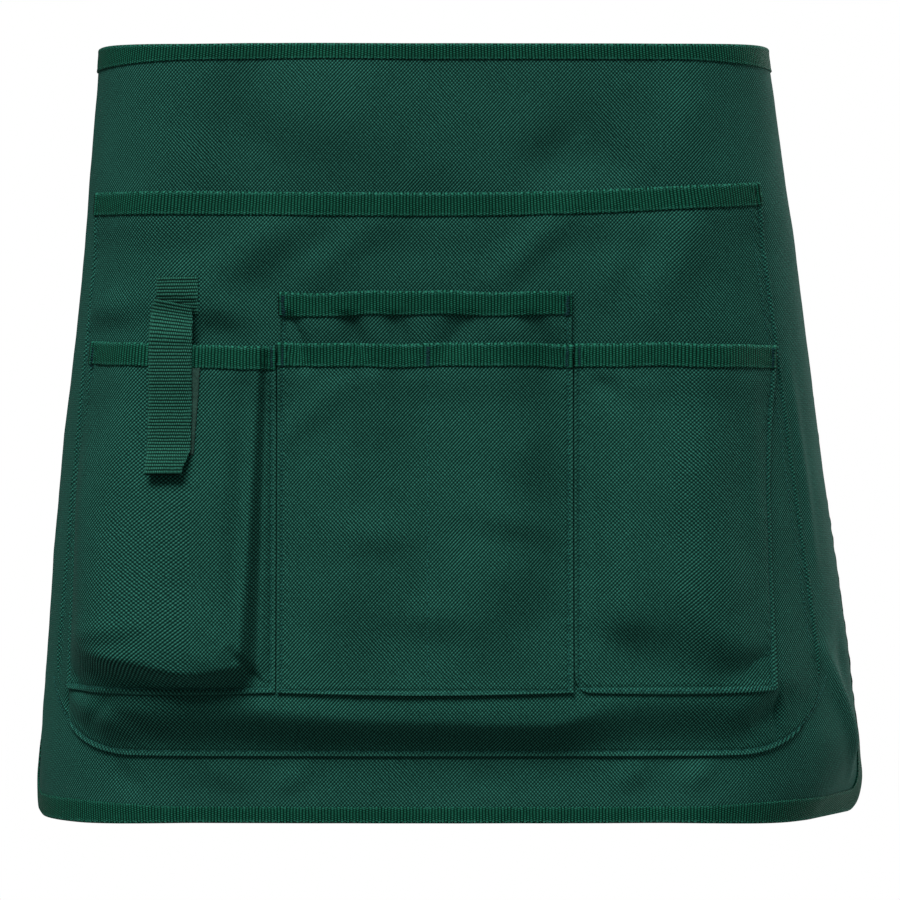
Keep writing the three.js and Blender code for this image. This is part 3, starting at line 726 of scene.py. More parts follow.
class Paint(Nodes):
    """One material and the nodes that make it."""

    def __init__(self, name: str) -> None:
        """Starts a material with nothing but an output and a Principled shader.

        Args:
            name: the material's name.
        """
        self.material = bpy.data.materials.new(name)
        self.material.use_nodes = True
        super().__init__(self.material.node_tree)
        self.shader = self.node("ShaderNodeBsdfPrincipled", {}, {})
        self.node("ShaderNodeOutputMaterial", {}, {"Surface": Wire(self, self.shader.outputs[0])})

    def surface(self, **values: object) -> None:
        """Sets the Principled shader's inputs by their names, with _ for a space."""
        for key, value in values.items():
            self.feed(self.shader, key.replace("_", " "), value)

    def uv(self) -> tuple[Wire, Wire]:
        """The two parts of the piece's own map, in metres of cloth.

        Returns:
            The part across the cloth or along the tape, and the other part.
        """
        node = self.node("ShaderNodeUVMap", {"uv_map": "cloth"}, {})
        parts = self.node("ShaderNodeSeparateXYZ", {}, {0: Wire(self, node.outputs[0])})
        return Wire(self, parts.outputs[0]), Wire(self, parts.outputs[1])

    def place(self) -> Wire:
        """Object coordinates."""
        return Wire(self, self.node("ShaderNodeTexCoord", {}, {}).outputs["Object"])

    def attribute(self, name: str) -> Wire:
        """A number that the mesh carries."""
        node = self.node("ShaderNodeAttribute", {"attribute_name": name}, {})
        return Wire(self, node.outputs["Fac"])

    def noise(self, scale: float, detail: float = 2.0, rough: float = 0.5) -> Wire:
        """Noise in Object coordinates, about 0.5 in the mean."""
        inputs = {"Vector": self.place(), "Scale": scale, "Detail": detail, "Roughness": rough}
        return Wire(self, self.node("ShaderNodeTexNoise", {}, inputs).outputs[0])

    def blend(self, share: Wire | float, low: Colour | Wire, high: Colour | Wire) -> Wire:
        """Mixes two colours.

        Args:
            share: 0 for the first, 1 for the second.
            low: the first colour.
            high: the second colour.

        Returns:
            The mixed colour.
        """
        low = (*low, 1.0) if isinstance(low, tuple) else low
        high = (*high, 1.0) if isinstance(high, tuple) else high
        inputs = {"Factor_Float": share, "A_Color": low, "B_Color": high}
        node = self.node("ShaderNodeMix", {"data_type": "RGBA"}, inputs)
        return Wire(self, next(x for x in node.outputs if x.identifier == "Result_Color"))

    def bump(self, height: Wire, distance: float, strength: float) -> Wire:
        """Relief for the Normal input."""
        inputs = {"Height": height, "Distance": distance, "Strength": strength}
        return Wire(self, self.node("ShaderNodeBump", {}, inputs).outputs[0])


@dataclass(frozen=True)
class Canvas:
    """Plain-woven cloth: threads over and under each other in small cells."""

    name: str
    dark: Colour
    light: Colour
    # Lighter colour for rubbed cloth, also used for the painted sheen of the panel's turned sides.
    worn: Colour
    cell: tuple[float, float] = (0.945 * MM, 1.035 * MM)
    waver: float = 0.6
    lean: float = 1.8

    def make(self) -> bpy.types.Material:
        """Makes the material.

        Returns:
            The material.
        """
        paint = Paint(self.name)
        u, v = paint.uv()
        waver = self.waver * (paint.noise(420.0, 1.0) - 0.5)
        a = u / self.cell[0] + waver
        b = v / self.cell[1] + waver
        # Threads that lean one way in one place and not in the next give the cloth its slants.
        lean = (paint.noise(26.0, 1.0) - 0.42) * self.lean
        check = a.wave() * b.wave() + lean * (a + 0.5).wave() * (b + 0.5).wave()
        crown = abs(check).power(0.6)
        over = (check * 0.5 + 0.5).at_least(0.0).power(2.2)
        thread = crown * 0.04 + over * 0.96
        slub = paint.noise(900.0, 1.0)
        cloud = paint.noise(14.0, 3.0)
        tone = thread * (0.5 + slub)
        colour = paint.blend((tone * (0.86 + 0.28 * cloud)).at_most(1.0), self.dark, self.light)
        # Lighter where the mesh's attribute is high: real rubbing at hems and seams, and painted sheen where
        # the panel's sides turn back.
        rubbed = paint.attribute("wear_and_sheen") * (0.35 + 0.65 * thread)
        colour = paint.blend(rubbed, colour, self.worn)
        paint.surface(
            Base_Color=colour,
            Roughness=0.92 - 0.22 * thread,
            Normal=paint.bump(thread, 0.35 * MM, 0.55),
            IOR=1.45,
            Specular_IOR_Level=0.03,
            Sheen_Weight=0.01,
            Sheen_Roughness=0.4,
            Sheen_Tint=(0.6, 0.95, 0.85, 1.0),
        )
        return paint.material


@dataclass(frozen=True)
class Ribbed:
    """Tape or webbing: ribs across its length, each a row of small beads of thread."""

    name: str
    dark: Colour
    light: Colour
    fleck: Colour = (0.05, 0.27, 0.2)
    rib: float = 1.7 * MM
    bead: float = 1.0 * MM
    depth: float = 0.4 * MM

    def make(self) -> bpy.types.Material:
        """Makes the material.

        Returns:
            The material.
        """
        paint = Paint(self.name)
        along, across = paint.uv()
        waver = paint.noise(260.0, 1.0) - 0.5
        row = along / self.rib + 0.22 * waver
        offset = (row.floor() % 2.0) * 0.5
        beads = abs((across / self.bead + offset).wave()).power(1.3)
        ribs = abs(row.wave()).power(1.6)
        thread = ribs * (0.05 + 0.95 * beads)
        slub = paint.noise(1100.0, 1.0)
        tone = (thread * (0.4 + 1.2 * slub)).at_most(1.0)
        colour = paint.blend(tone, self.dark, self.light)
        speck = ((paint.noise(1300.0, 1.0) - 0.5) * 12.0).at_least(0.0).at_most(1.0)
        colour = paint.blend(paint.attribute("wear_and_sheen") * speck, colour, self.fleck)
        paint.surface(
            Base_Color=colour,
            Roughness=0.85 - 0.25 * thread,
            Normal=paint.bump(thread, self.depth, 0.7),
            IOR=1.45,
            Specular_IOR_Level=0.04,
            Sheen_Weight=0.01,
            Sheen_Roughness=0.4,
            Sheen_Tint=(0.6, 1.0, 0.85, 1.0),
        )
        return paint.material


@dataclass(frozen=True)
class Thread:
    """Twisted sewing thread."""

    name: str
    dark: Colour
    light: Colour

    def make(self) -> bpy.types.Material:
        """Makes the material.

        Returns:
            The material.
        """
        paint = Paint(self.name)
        tone = paint.noise(1600.0, 2.0, 0.7)
        colour = paint.blend(tone, self.dark, self.light)
        paint.surface(
            Base_Color=colour,
            Roughness=0.5 + 0.3 * tone,
            Normal=paint.bump(tone, 0.15 * MM, 0.5),
            Specular_IOR_Level=0.1,
        )
        return paint.material


@dataclass(frozen=True)
class Fuzz:
    """Brushed loop tape."""

    name: str
    dark: Colour
    light: Colour

    def make(self) -> bpy.types.Material:
        """Makes the material.

        Returns:
            The material.
        """
        paint = Paint(self.name)
        tone = paint.noise(700.0, 4.0, 0.75)
        tuft = ((tone - 0.3) * 2.2).at_least(0.0).at_most(1.0)
        colour = paint.blend(tuft, self.dark, self.light)
        paint.surface(
            Base_Color=colour,
            Roughness=0.97 - 0.1 * tuft,
            Normal=paint.bump(tone, 0.8 * MM, 0.9),
            Specular_IOR_Level=0.2,
            Sheen_Weight=0.2,
            Sheen_Roughness=0.5,
            Sheen_Tint=(0.8, 1.0, 0.95, 1.0),
        )
        return paint.material


@dataclass(frozen=True)
class Moulded:
    """Moulded plastic with a fine eroded grain and rubbed edges."""

    name: str
    base: Colour
    rubbed: Colour

    def make(self) -> bpy.types.Material:
        """Makes the material.

        Returns:
            The material.
        """
        paint = Paint(self.name)
        grain = paint.noise(1500.0, 3.0, 0.6)
        cloud = paint.noise(60.0, 2.0)
        mark = ((cloud - 0.5) * 1.6).at_least(0.0).at_most(1.0)
        colour = paint.blend(mark * 0.6, self.base, self.rubbed)
        paint.surface(
            Base_Color=colour,
            Roughness=0.38 + 0.24 * grain,
            Normal=paint.bump(grain, 0.08 * MM, 0.35),
            IOR=1.5,
        )
        return paint.material


@dataclass(frozen=True)
class Matt:
    """Plain pale studio floor."""

    name: str
    base: Colour

    def make(self) -> bpy.types.Material:
        """Makes the material.

        Returns:
            The material.
        """
        paint = Paint(self.name)
        paint.surface(Base_Color=(*self.base, 1.0), Roughness=0.9)
        return paint.material


class Finish(Enum):
    """The finishes of the apron, with the record's slot for each."""

    CLOTH = "cloth"
    POCKET = "pocket_cloth"
    BINDING = "binding"
    WEBBING = "webbing"
    LOOP = "loop"
    BUCKLE = "buckle"
    THREAD = "thread"
    TACK = "tack"

    @property
    def slot(self) -> str | None:
        """Name of the record's material slot, if it has one."""
        return None if self in (Finish.THREAD, Finish.TACK) else self.value


def finishes() -> dict[Finish, bpy.types.Material]:
    """Makes every material of the apron.

    Returns:
        The material of each finish.
    """
    # The second colour serves real rubbing and the painted sheen of the panel's turned sides.
    gap, rubbed = (0.0, 0.003, 0.002), (0.03, 0.14, 0.105)
    recipes = {
        Finish.CLOTH: Canvas("canvas_panel", gap, (0.036, 0.197, 0.148), rubbed),
        Finish.POCKET: Canvas("canvas_pockets", gap, (0.036, 0.197, 0.147), rubbed),
        Finish.BINDING: Ribbed("binding_tape", (0.0, 0.004, 0.002), (0.013, 0.145, 0.088)),
        Finish.WEBBING: Ribbed("strap_webbing", (0.0, 0.0, 0.0), (0.036, 0.2, 0.138), depth=0.6 * MM),
        Finish.LOOP: Fuzz("loop_fuzz", (0.003, 0.018, 0.013), (0.026, 0.085, 0.063)),
        Finish.BUCKLE: Moulded("buckle_plastic", (0.007, 0.019, 0.015), (0.03, 0.045, 0.04)),
        Finish.THREAD: Thread("sewing_thread", (0.001, 0.022, 0.02), (0.016, 0.12, 0.1)),
        Finish.TACK: Thread("tack_thread", (0.0, 0.008, 0.01), (0.006, 0.05, 0.055)),
    }
    return {finish: recipe.make() for finish, recipe in recipes.items()}


def mesh_from(bm: bmesh.types.BMesh, name: str) -> bpy.types.Mesh:
    """Turns a finished bmesh into a named mesh.

    Args:
        bm: the shape, which is used up.
        name: the mesh's name.

    Returns:
        The mesh.
    """
    mesh = bpy.data.meshes.new(name)
    bm.to_mesh(mesh)
    bm.free()
    return mesh


def put(name: str, data: bpy.types.ID) -> bpy.types.Object:
    """Links a new object with its data into the scene.

    Args:
        name: the object's name.
        data: its mesh, light or camera.

    Returns:
        The object.
    """
    thing = bpy.data.objects.new(name, data)
    bpy.context.scene.collection.objects.link(thing)
    return thing


@dataclass
class Workshop:
    """What every piece is made with: the stack of cloth and the finishes."""

    layers: Layers
    materials: dict[Finish, bpy.types.Material]

    @property
    def wrap(self) -> Wrap:
        """The wrap that carries the layers."""
        return self.layers.wrap

    def dress(self, mesh: bpy.types.Mesh, finish: Finish, nodes: Sequence[str]) -> bpy.types.Object:
        """Makes a piece of a mesh.

        Args:
            mesh: the mesh, in metres, in the frame's own place.
            finish: its finish.
            nodes: the solids that it stands for.

        Returns:
            The new object, riding on the one body.
        """
        mesh.materials.append(self.materials[finish])
        piece = put(mesh.name, mesh)
        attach(piece, "root")
        if nodes:
            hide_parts(*nodes)
        if finish.slot:
            finish.slot
        return piece

    def sheet(
        self,
        name: str,
        us: Array,
        vs: Array,
        spot: Callable[[Array, Array], Marks],
        finish: Finish,
        nodes: Sequence[str],
        thickness: float,
        turned: bool = False,
    ) -> bpy.types.Object:
        """Makes a sheet from a flat grid whose points are then moved, and gives it its wall.

        Args:
            name: the piece's name.
            us: places across, in order.
            vs: places up, in order.
            spot: gives, for arrays of u and v, the points in millimetres, the map in
                millimetres and the wear from 0 to 1, painted sheen included.
            finish: its finish.
            nodes: the solids that it stands for.
            thickness: its wall, in millimetres.
            turned: True where its second places run down, so that its faces look outwards.

        Returns:
            The piece, smooth shaded, with its map and its wear, painted sheen included.
        """
        bm = bmesh.new()
        bmesh.ops.create_grid(bm, x_segments=len(us) - 1, y_segments=len(vs) - 1, size=1.0)
        if turned:
            bmesh.ops.reverse_faces(bm, faces=bm.faces)
        mesh = mesh_from(bm, name)
        flat = np.zeros(len(mesh.vertices) * 3, np.float32)
        mesh.vertices.foreach_get("co", flat)
        flat = flat.reshape(-1, 3)
        column = np.rint((flat[:, 0] + 1) / 2 * (len(us) - 1)).astype(int)
        row = np.rint((flat[:, 1] + 1) / 2 * (len(vs) - 1)).astype(int)
        points, chart, wear_and_sheen = spot(us[column], vs[row])
        mesh.vertices.foreach_set("co", (points * MM).astype(np.float32).ravel())
        corner = np.zeros(len(mesh.loops), np.int32)
        mesh.loops.foreach_get("vertex_index", corner)
        layer = mesh.uv_layers.new(name="cloth")
        layer.data.foreach_set("uv", (chart[corner] * MM).astype(np.float32).ravel())
        # The attribute carries rubbing and, on the panel, painted sheen.
        attribute = mesh.attributes.new("wear_and_sheen", "FLOAT", "POINT")
        attribute.data.foreach_set("value", wear_and_sheen.astype(np.float32))
        mesh.polygons.foreach_set("use_smooth", np.ones(len(mesh.polygons), bool))
        mesh.update()
        piece = self.dress(mesh, finish, nodes)
        wall = piece.modifiers.new("wall", "SOLIDIFY")
        wall.thickness = thickness * MM
        wall.offset = 0.0
        wall.use_even_offset = False
        wall.use_rim = True
        return piece

    def cloth(
        self,
        name: str,
        us: Array,
        vs: Array,
        spot: Spot,
        height: Height,
        wear_and_sheen: Height,
        finish: Finish = Finish.POCKET,
    ) -> bpy.types.Object:
        """Makes one layer of cloth.

        Args:
            name: the solid that it stands for, which also names it.
            us: shares across.
            vs: shares up.
            spot: gives the places s and z of the shares.
            height: the layer's stand-off.
            wear_and_sheen: how rubbed it is, with any painted sheen, 0 to 1.
            finish: its finish.

        Returns:
            The piece.
        """

        def points(u: Array, v: Array) -> Marks:
            """Points, map and wear of the layer."""
            s, z = spot(u, v)
            return self.wrap.place(s, z, height(s, z)), np.stack([s, z], axis=-1), wear_and_sheen(s, z)

        return self.sheet(f"{name}_cloth", us, vs, points, finish, [name], self.layers.cloth)

    @staticmethod
    def top_edge(spot: Spot, us: Array, below: float) -> Marks:
        """Follows the top edge of a layer.

        Args:
            spot: gives the places s and z of shares across and up.
            us: shares across.
            below: share up of a line just under the edge.

        Returns:
            The edge's places s and z, and the directions out of it.
        """
        s, z = spot(us, np.ones_like(us))
        low_s, low_z = spot(us, np.full_like(us, below))
        return s, z, unit(np.stack([s - low_s, z - low_z], axis=-1))

    def folded_tape(self, name: str, height: Height, edge: Marks, front: Array) -> bpy.types.Object:
        """Makes a tape folded over an edge.

        Args:
            name: the solid that it stands for, which also names it.
            height: stand-off of the cloth that it binds.
            edge: places s and z of the edge, and the directions out of it.
            front: width of the turn in front; the rest of the tape turns behind.

        Returns:
            The piece.
        """
        s, z, out = edge
        rear = 2 * self.layers.tape_fold - front
        half = self.layers.cloth / 2 + self.layers.tape / 2 + 0.05
        run = run_along(np.stack([s, z], axis=-1))
        # Shares of the tape's width: its front turn, its bend from -bent to bent, and its rear turn.
        bent, start = 0.1, 0.12
        turns = np.linspace(-1, -start, 12), np.linspace(-bent, bent, 8), np.linspace(start, 1, 8)
        shares = np.concatenate(turns)
        pucker = 0.16 * np.sin(run * 1.9 + 0.8 * np.sin(run * 0.21)) + 0.12 * np.sin(run * 0.63 + 1.0)

        def points(u: Array, v: Array) -> Marks:
            """Points, map and wear of the tape.

            Args:
                u: the sheet's first places.
                v: the sheet's second places.

            Returns:
                The points, the map and the wear.
            """
            i = np.rint(u).astype(int)
            t = shares[np.rint(v).astype(int)]
            bend = np.clip(t / bent, -1, 1) * math.pi / 2
            leg = np.maximum(np.abs(t) - bent, 0) / (1 - bent)
            inward = leg * np.where(t < 0, front[i], rear[i])
            away = half * np.cos(bend) - inward
            off = -half * np.sin(bend)
            lift = pucker[i] * ramp(leg, 0.75, 1.0) * np.where(t < 0, 1.0, 0.4)
            seam = 0.14 * bell(leg - 0.84, 0.06)
            off = off + np.sign(off) * (lift - seam)
            place = s[i] + out[i, 0] * away, z[i] + out[i, 1] * away
            base, normal = self.wrap.surface(height, *place)
            across = np.where(t < 0, -1, 1) * (inward + 0.6)
            flecks = 0.4 * bell(leg - 0.95, 0.05) + 0.35 * bell(leg, 0.04)
            return base + normal * off[:, None], np.stack([run[i], across], axis=-1), flecks

        us, vs = np.arange(len(s), dtype=float), np.arange(len(shares), dtype=float)
        thickness = self.layers.tape
        return self.sheet(f"{name}_tape", us, vs, points, Finish.BINDING, [name], thickness, turned=True)


def eased(count: int, low: float = 0.0, high: float = 1.0, pull: float = 0.75) -> Array:
    """Shares from low to high, closer together towards both ends."""
    x = np.linspace(-1, 1, count + 1)
    return mix(low, high, 0.5 + 0.5 * mix(x, np.sin(x * math.pi / 2), pull))


@dataclass
class Panel:
    """The main panel with the tapes over its edges."""

    shop: Workshop
    across: int = 230
    down: int = 150
    rounder_right: float = 1.45
    # Strength of the rubbing along the hem and of the painted sheen on the turned sides.
    rubbed: float = 0.1

    def spot(self, u: Array, v: Array) -> tuple[Array, Array]:
        """Place of a share across, from -1 to 1, and a share up.

        Args:
            u: shares across, from -1 to 1.
            v: shares up, from 0 to 1.

        Returns:
            The places s and z.
        """
        layers, wrap = self.shop.layers, self.shop.wrap
        inside = (1 - np.abs(u)) * wrap.hem_reach
        corner = wrap.hem_corner * np.where(u > 0, self.rounder_right, 1.0)
        low = layers.hem_line(u * wrap.hem_reach) + layers.corner_rise(inside, corner, corner)
        z = mix(low, layers.top_line(u * wrap.waist_reach), v)
        return u * wrap.reach(z), z

    def front_turn(self, s: Array) -> Array:
        """Width of the long edges' tape in front: less between the sides."""
        layers = self.shop.layers
        return layers.tape_fold - layers.tape_shift * (1 - self.shop.wrap.side_share(s))

    def build(self) -> None:
        """Builds the panel and its two tapes."""
        shop, layers, wrap = self.shop, self.shop.layers, self.shop.wrap
        us, vs = eased(self.across, -1, 1, 0.4), eased(self.down, pull=0.4)
        panel = shop.cloth("body_panel", us, vs, self.spot, layers.body, self.wear_and_sheen, Finish.CLOTH)
        middle = (wrap.waist_reach + wrap.hem_reach) * wrap.height * MM * MM
        edge = shop.top_edge(self.spot, eased(300, -1, 1, 0.2), 0.96)
        top = shop.folded_tape("top_binding", layers.body, edge, self.front_turn(edge[0]))
        self.outline()
        LOG.info("built the panel")

    def wear_and_sheen(self, s: Array, z: Array) -> Array:
        """The panel is rubbed a little along the hem, and its colour is made lighter where its sides turn
        back, a painted sheen.

        Args:
            s: places across the cloth.
            z: heights.

        Returns:
            How rubbed each place is, with the painted sheen of the turned sides, from 0 to 1.
        """
        hem = bell(z - self.shop.layers.hem_line(s) - 12, 5)
        # Painted sheen: where the sides turn back the colour is made lighter, as if they caught the light.
        turn = bell(np.abs(s) - self.shop.wrap.reach(z) + 60, 40)
        return self.rubbed * (hem + turn + 0.3 * (1 + np.sin(s * 0.05 + z * 0.03)))

    def outline(self) -> None:
        """Builds the tape down one side, along the hem and up the other side."""
        shop, layers, wrap = self.shop, self.shop.layers, self.shop.wrap
        down = np.linspace(1 - (layers.tape_fold + 1.6) / wrap.height, 0.004, 150)
        corner = 1 - wrap.hem_corner / wrap.hem_reach
        # The corners' places lie closer together where the edge turns upright.
        turn = corner + (1 - corner) * np.sin(np.linspace(1, 0, 24)[:-1] * math.pi / 2)
        hem = np.concatenate([turn, np.linspace(corner, -corner, 300), -turn[::-1]])
        u = np.concatenate([np.ones_like(down), hem, -np.ones_like(down)])
        v = np.concatenate([down, np.zeros_like(hem), down[::-1]])
        s, z = self.spot(u, v)
        run = unit(np.stack([np.gradient(s), np.gradient(z)], axis=-1))
        out = np.stack([-run[:, 1], run[:, 0]], axis=-1)
        at_hem = ramp(np.abs(z) - wrap.height, -wrap.hem_corner, 0)
        front = mix(layers.tape_fold, self.front_turn(s), at_hem)
        edge = shop.folded_tape("edge_binding", layers.body, (s, z, out), front)


@dataclass
class Pocket:
    """One pocket: a layer of cloth with a tape over its mouth."""

    shop: Workshop
    name: str
    height: Height
    spot: Spot
    edge: Height
    across: Array
    up: Array
    flat: tuple[float, float]
    area: float | None = None
    behind: str = "body_panel_cloth"
    step: float = 1.6

    def wear_and_sheen(self, s: Array, z: Array) -> Array:
        """Cloth is made lighter where it turns under at its seams."""
        return 0.3 * bell(self.edge(s, z), 1.1)

    def build(self) -> None:
        """Builds the cloth and its tape."""
        shop = self.shop
        cloth = shop.cloth(self.name, self.across, self.up, self.spot, self.height, self.wear_and_sheen)
        us = np.linspace(self.across[0], self.across[-1], int(self.flat[0] / MM / self.step))
        edge = shop.top_edge(self.spot, us, 0.95)
        fold = np.full_like(us, shop.layers.tape_fold)
        tape = shop.folded_tape(f"{self.name}_binding", self.height, edge, fold)
        self.flat[0] * 0.98
        LOG.info("built %s", self.name)


@dataclass
class Pockets:
    """The large pocket and the row of small pockets sewn on it."""

    shop: Workshop
    left_tilt: tuple[float, float] = (0.01, -0.012)
    foot_sag: float = 1.2
    right_corner: tuple[float, float] = (8.0, 9.0)

    def large_spot(self, u: Array, v: Array) -> tuple[Array, Array]:
        """Place in the large pocket.

        Args:
            u: shares across, from -1 to 1.
            v: shares up, from 0 to 1.

        Returns:
            The places s and z.
        """
        layers = self.shop.layers
        top = layers.large_mouth(u * layers.large_side(u, layers.large_top))
        low = layers.large_seam(u * layers.large_side(u, layers.large_bottom))
        z = mix(low, top, v)
        return u * layers.large_side(u, z), z

    def left_spot(self, u: Array, v: Array) -> tuple[Array, Array]:
        """Place in the left pocket.

        Args:
            u: shares across, from 0 to 1.
            v: shares up, from 0 to 1.

        Returns:
            The places s and z.
        """
        layers = self.shop.layers
        low = layers.row_bottom - self.foot_sag * np.sin(math.pi * u)
        tilt = mix(*self.left_tilt, u) * layers.row_height
        z = mix(low, layers.row_top + tilt + layers.slack(u * 142), v)
        return mix(layers.left_outer(z), layers.left_inner_seam - layers.row_gap / 2, u), z

    def middle_spot(self, u: Array, v: Array) -> tuple[Array, Array]:
        """Place in the middle pocket.

        Args:
            u: shares across, from 0 to 1.
            v: shares up, from 0 to 1.

        Returns:
            The places s and z.
        """
        layers = self.shop.layers
        sag = layers.middle_sag * np.sin(math.pi * u)
        s = mix(layers.left_inner_seam, layers.right_inner_seam, u)
        return s, mix(layers.row_bottom - sag, layers.row_top + layers.slack(s), v)

    def right_spot(self, u: Array, v: Array) -> tuple[Array, Array]:
        """Place in the right pocket.

        Args:
            u: shares across, from 0 to 1.
            v: shares up, from 0 to 1.

        Returns:
            The places s and z.
        """
        layers = self.shop.layers
        start = layers.right_inner_seam + layers.row_gap / 2
        inside = u * (layers.right_outer(layers.row_bottom) - start)
        low = layers.row_bottom - np.sin(math.pi * u) + layers.corner_rise(inside, *self.right_corner)
        z = mix(low, layers.row_top + layers.slack(u * 125 + 90), v)
        return mix(start, layers.right_outer(z), u), z

    def inner_spot(self, u: Array, v: Array) -> tuple[Array, Array]:
        """Place in the inner pocket.

        Args:
            u: shares across, from 0 to 1.
            v: shares up, from 0 to 1.

        Returns:
            The places s and z.
        """
        layers = self.shop.layers
        side = layers.cloth / 2
        s = mix(layers.left_inner_seam + side, layers.right_inner_seam - side, u)
        top = layers.inner_top + 1.4 * layers.slack(s + 40) + 0.6 * u
        return s, mix(layers.row_bottom + 1, top, v)

    def build(self) -> None:
        """Builds the pockets from the back to the front."""
        shop, layers = self.shop, self.shop.layers
        gap, bottom = layers.row_gap / 2, layers.row_bottom

        def sewn(low: Callable[[Array], Array | float], high: Callable[[Array], Array | float]) -> Height:
            """Distance inside the sewn edge of a small pocket between two seams."""
            return lambda s, z: np.minimum(np.minimum(s - low(z), high(z) - s), z - bottom + 1)

        left = sewn(layers.left_outer, lambda z: layers.left_inner_seam - gap)
        middle = sewn(lambda z: layers.left_inner_seam, lambda z: layers.right_inner_seam)
        right = sewn(lambda z: layers.right_inner_seam + gap, layers.right_outer)
        large = layers.large_edge
        wide, tall = eased(240, -1, 1), eased(170)
        row, area, on_large = eased(120), 0.302 * 0.415, "large_pocket_cloth"
        for pocket in (
            Pocket(shop, "large_pocket", layers.large, self.large_spot, large, wide, tall,
                   (0.449, 0.309), area),
            Pocket(shop, "inner_pocket", layers.inner, self.inner_spot, middle, eased(100), eased(100),
                   (0.157, 0.214), behind=on_large),
            Pocket(shop, "left_pocket", layers.left, self.left_spot, left, eased(110), row,
                   (0.142, 0.189), behind=on_large),
            Pocket(shop, "middle_pocket", layers.middle, self.middle_spot, middle, eased(120), row,
                   (0.17, 0.188), behind="inner_pocket_cloth"),
            Pocket(shop, "right_pocket", layers.right, self.right_spot, right, eased(100), row,
                   (0.125, 0.187), behind=on_large),
        ):
            pocket.build()


@dataclass
class Straps:
    """The hanging closure strap, the strip that it grips and the two waist straps."""

    shop: Workshop
    width: float = 23.6
    thickness: float = 1.4
    step: float = 37.0
    length: float = 106.0
    lift: float = 5.0
    turned: float = 14.0
    tab: float = 15.5
    tab_length: float = 20.0
    loop_length: float = 46.0
    loop_shift: tuple[float, float] = (3.3, 0.6)
    loop_thickness: float = 1.0
    waist_drop: float = 6.0
    waist_lap: float = 30.0

    def __post_init__(self) -> None:
        """Works out where the strap starts and ends."""
        self.top = self.shop.layers.row_top + self.step
        self.end = self.top - self.length

    def middle(self, z: Array) -> Array:
        """Middle of the strap across, leaning a little as it goes down.

        Args:
            z: heights.

        Returns:
            The place across at each height.
        """
        layers = self.shop.layers
        kink = ramp((self.top - z) / self.step, 0.28, 0.5)
        start = mix(layers.left_outer_seam, layers.left_inner_seam, 0.517)
        return start + layers.gusset * (0.2 * self.rise(z) - 0.33 * kink)

    def rise(self, z: Array) -> Array:
        """0 where the strap is sewn down, 1 where it lies over the left pocket."""
        return ramp((self.top - z) / self.step, 0.4, 0.94)

    def half(self, height: Height, z: Array) -> Array:
        """Half the strip's width in the cloth that it covers, less where it stands off."""
        stand_off = height(self.middle(z), z)
        return self.width / 2 / (1 + stand_off / self.shop.wrap.side_radius)

    def stand_off(self, s: Array, z: Array) -> Array:
        """Stand-off of the hanging part of the strap.

        Args:
            s: places across the cloth.
            z: heights.

        Returns:
            The stand-off at each place.
        """
        layers = self.shop.layers
        half = self.thickness / 2
        tape_out = layers.cloth / 2 + layers.tape + 0.2
        sewn = layers.large(s, z) + layers.cloth / 2 + 2.6 * half
        on_pocket = layers.left(s, np.minimum(z, layers.row_top)) + tape_out + half + 0.4
        lift = self.lift * ramp(self.end + self.step / 2 - z, 0, self.step / 2)
        return mix(sewn, on_pocket, self.rise(z)) + lift

    def chart(self, u: Array, v: Array) -> tuple[Array, Array]:
        """Map and wear of a strap: its selvages are rubbed."""
        return np.stack([v, u * self.width / 2], axis=-1), 0.5 * np.abs(u) ** 16

    def build(self) -> None:
        """Builds the strap, its sewn tab, the fuzzy strip and the waist straps."""
        self.closure()
        self.sewn_tab()
        self.loop()
        self.waist(-1.0, "waist_strap_left")
        self.waist(1.0, "waist_strap_right")
        LOG.info("built the straps")

    def closure(self) -> None:
        """Builds the closure strap, whose end is turned under."""
        shop, wrap = self.shop, self.shop.wrap
        turned = self.turned
        hanging = self.length - self.tab
        slanted, narrowed, end_length = 2.1, 0.3, 14.0

        def points(u: Array, v: Array) -> Marks:
            """Points, map and wear of the strap, v running down from its slanted fold.

            Args:
                u: the sheet's first places.
                v: the sheet's second places.

            Returns:
                The points, the map and the wear.
            """
            down = np.minimum(v, hanging)
            start = self.top - self.tab + slanted * (1 - u) * ramp(down, 30, 0)
            z = start - down + np.maximum(v - hanging, 0)
            narrow = 1 - narrowed * ramp(down, hanging - end_length, hanging) * (u > 0)
            s = self.middle(z) + u * narrow * self.half(self.stand_off, z)
            base, normal = wrap.surface(self.stand_off, s, np.maximum(z, self.end))
            under = ramp(v - hanging, -1.5, 1.5) * (self.thickness + 0.2)
            roll = 1.3 * ramp(8 - down, 0, 8)
            curl = 0.5 * np.abs(u) ** 6
            points = base - normal * (under - roll + curl)[:, None]
            points[:, 2] = z
            return points, *self.chart(u, v)

        us, vs = np.linspace(-1, 1, 19), np.linspace(0, hanging + turned, 170)
        name, nodes = "closure_strap_webbing", ["closure_strap"]
        strap = shop.sheet(name, us, vs, points, Finish.WEBBING, nodes, self.thickness, turned=True)
        (hanging + turned) * MM

    def sewn_tab(self) -> None:
        """Builds the strap's upper end, sewn flat on the large pocket."""
        shop, layers = self.shop, self.shop.layers

        def points(u: Array, v: Array) -> Marks:
            """Points, map and wear of the tab, v running down from its top.

            Args:
                u: the sheet's first places.
                v: the sheet's second places.

            Returns:
                The points, the map and the wear.
            """
            z = self.top - v
            s = self.middle(np.full_like(z, self.top)) + u * self.half(layers.large, z)
            base, normal = shop.wrap.surface(layers.large, s, z)
            sewn = 0.25 * bell(v - 2.6, 0.8) + 0.9 * ramp(v - 1.15 * u, self.tab - 5.5, self.tab - 3)
            off = layers.cloth / 2 + self.thickness / 2 - sewn - 0.2 * np.abs(u) ** 6
            return base + normal * off[:, None], *self.chart(u, v)

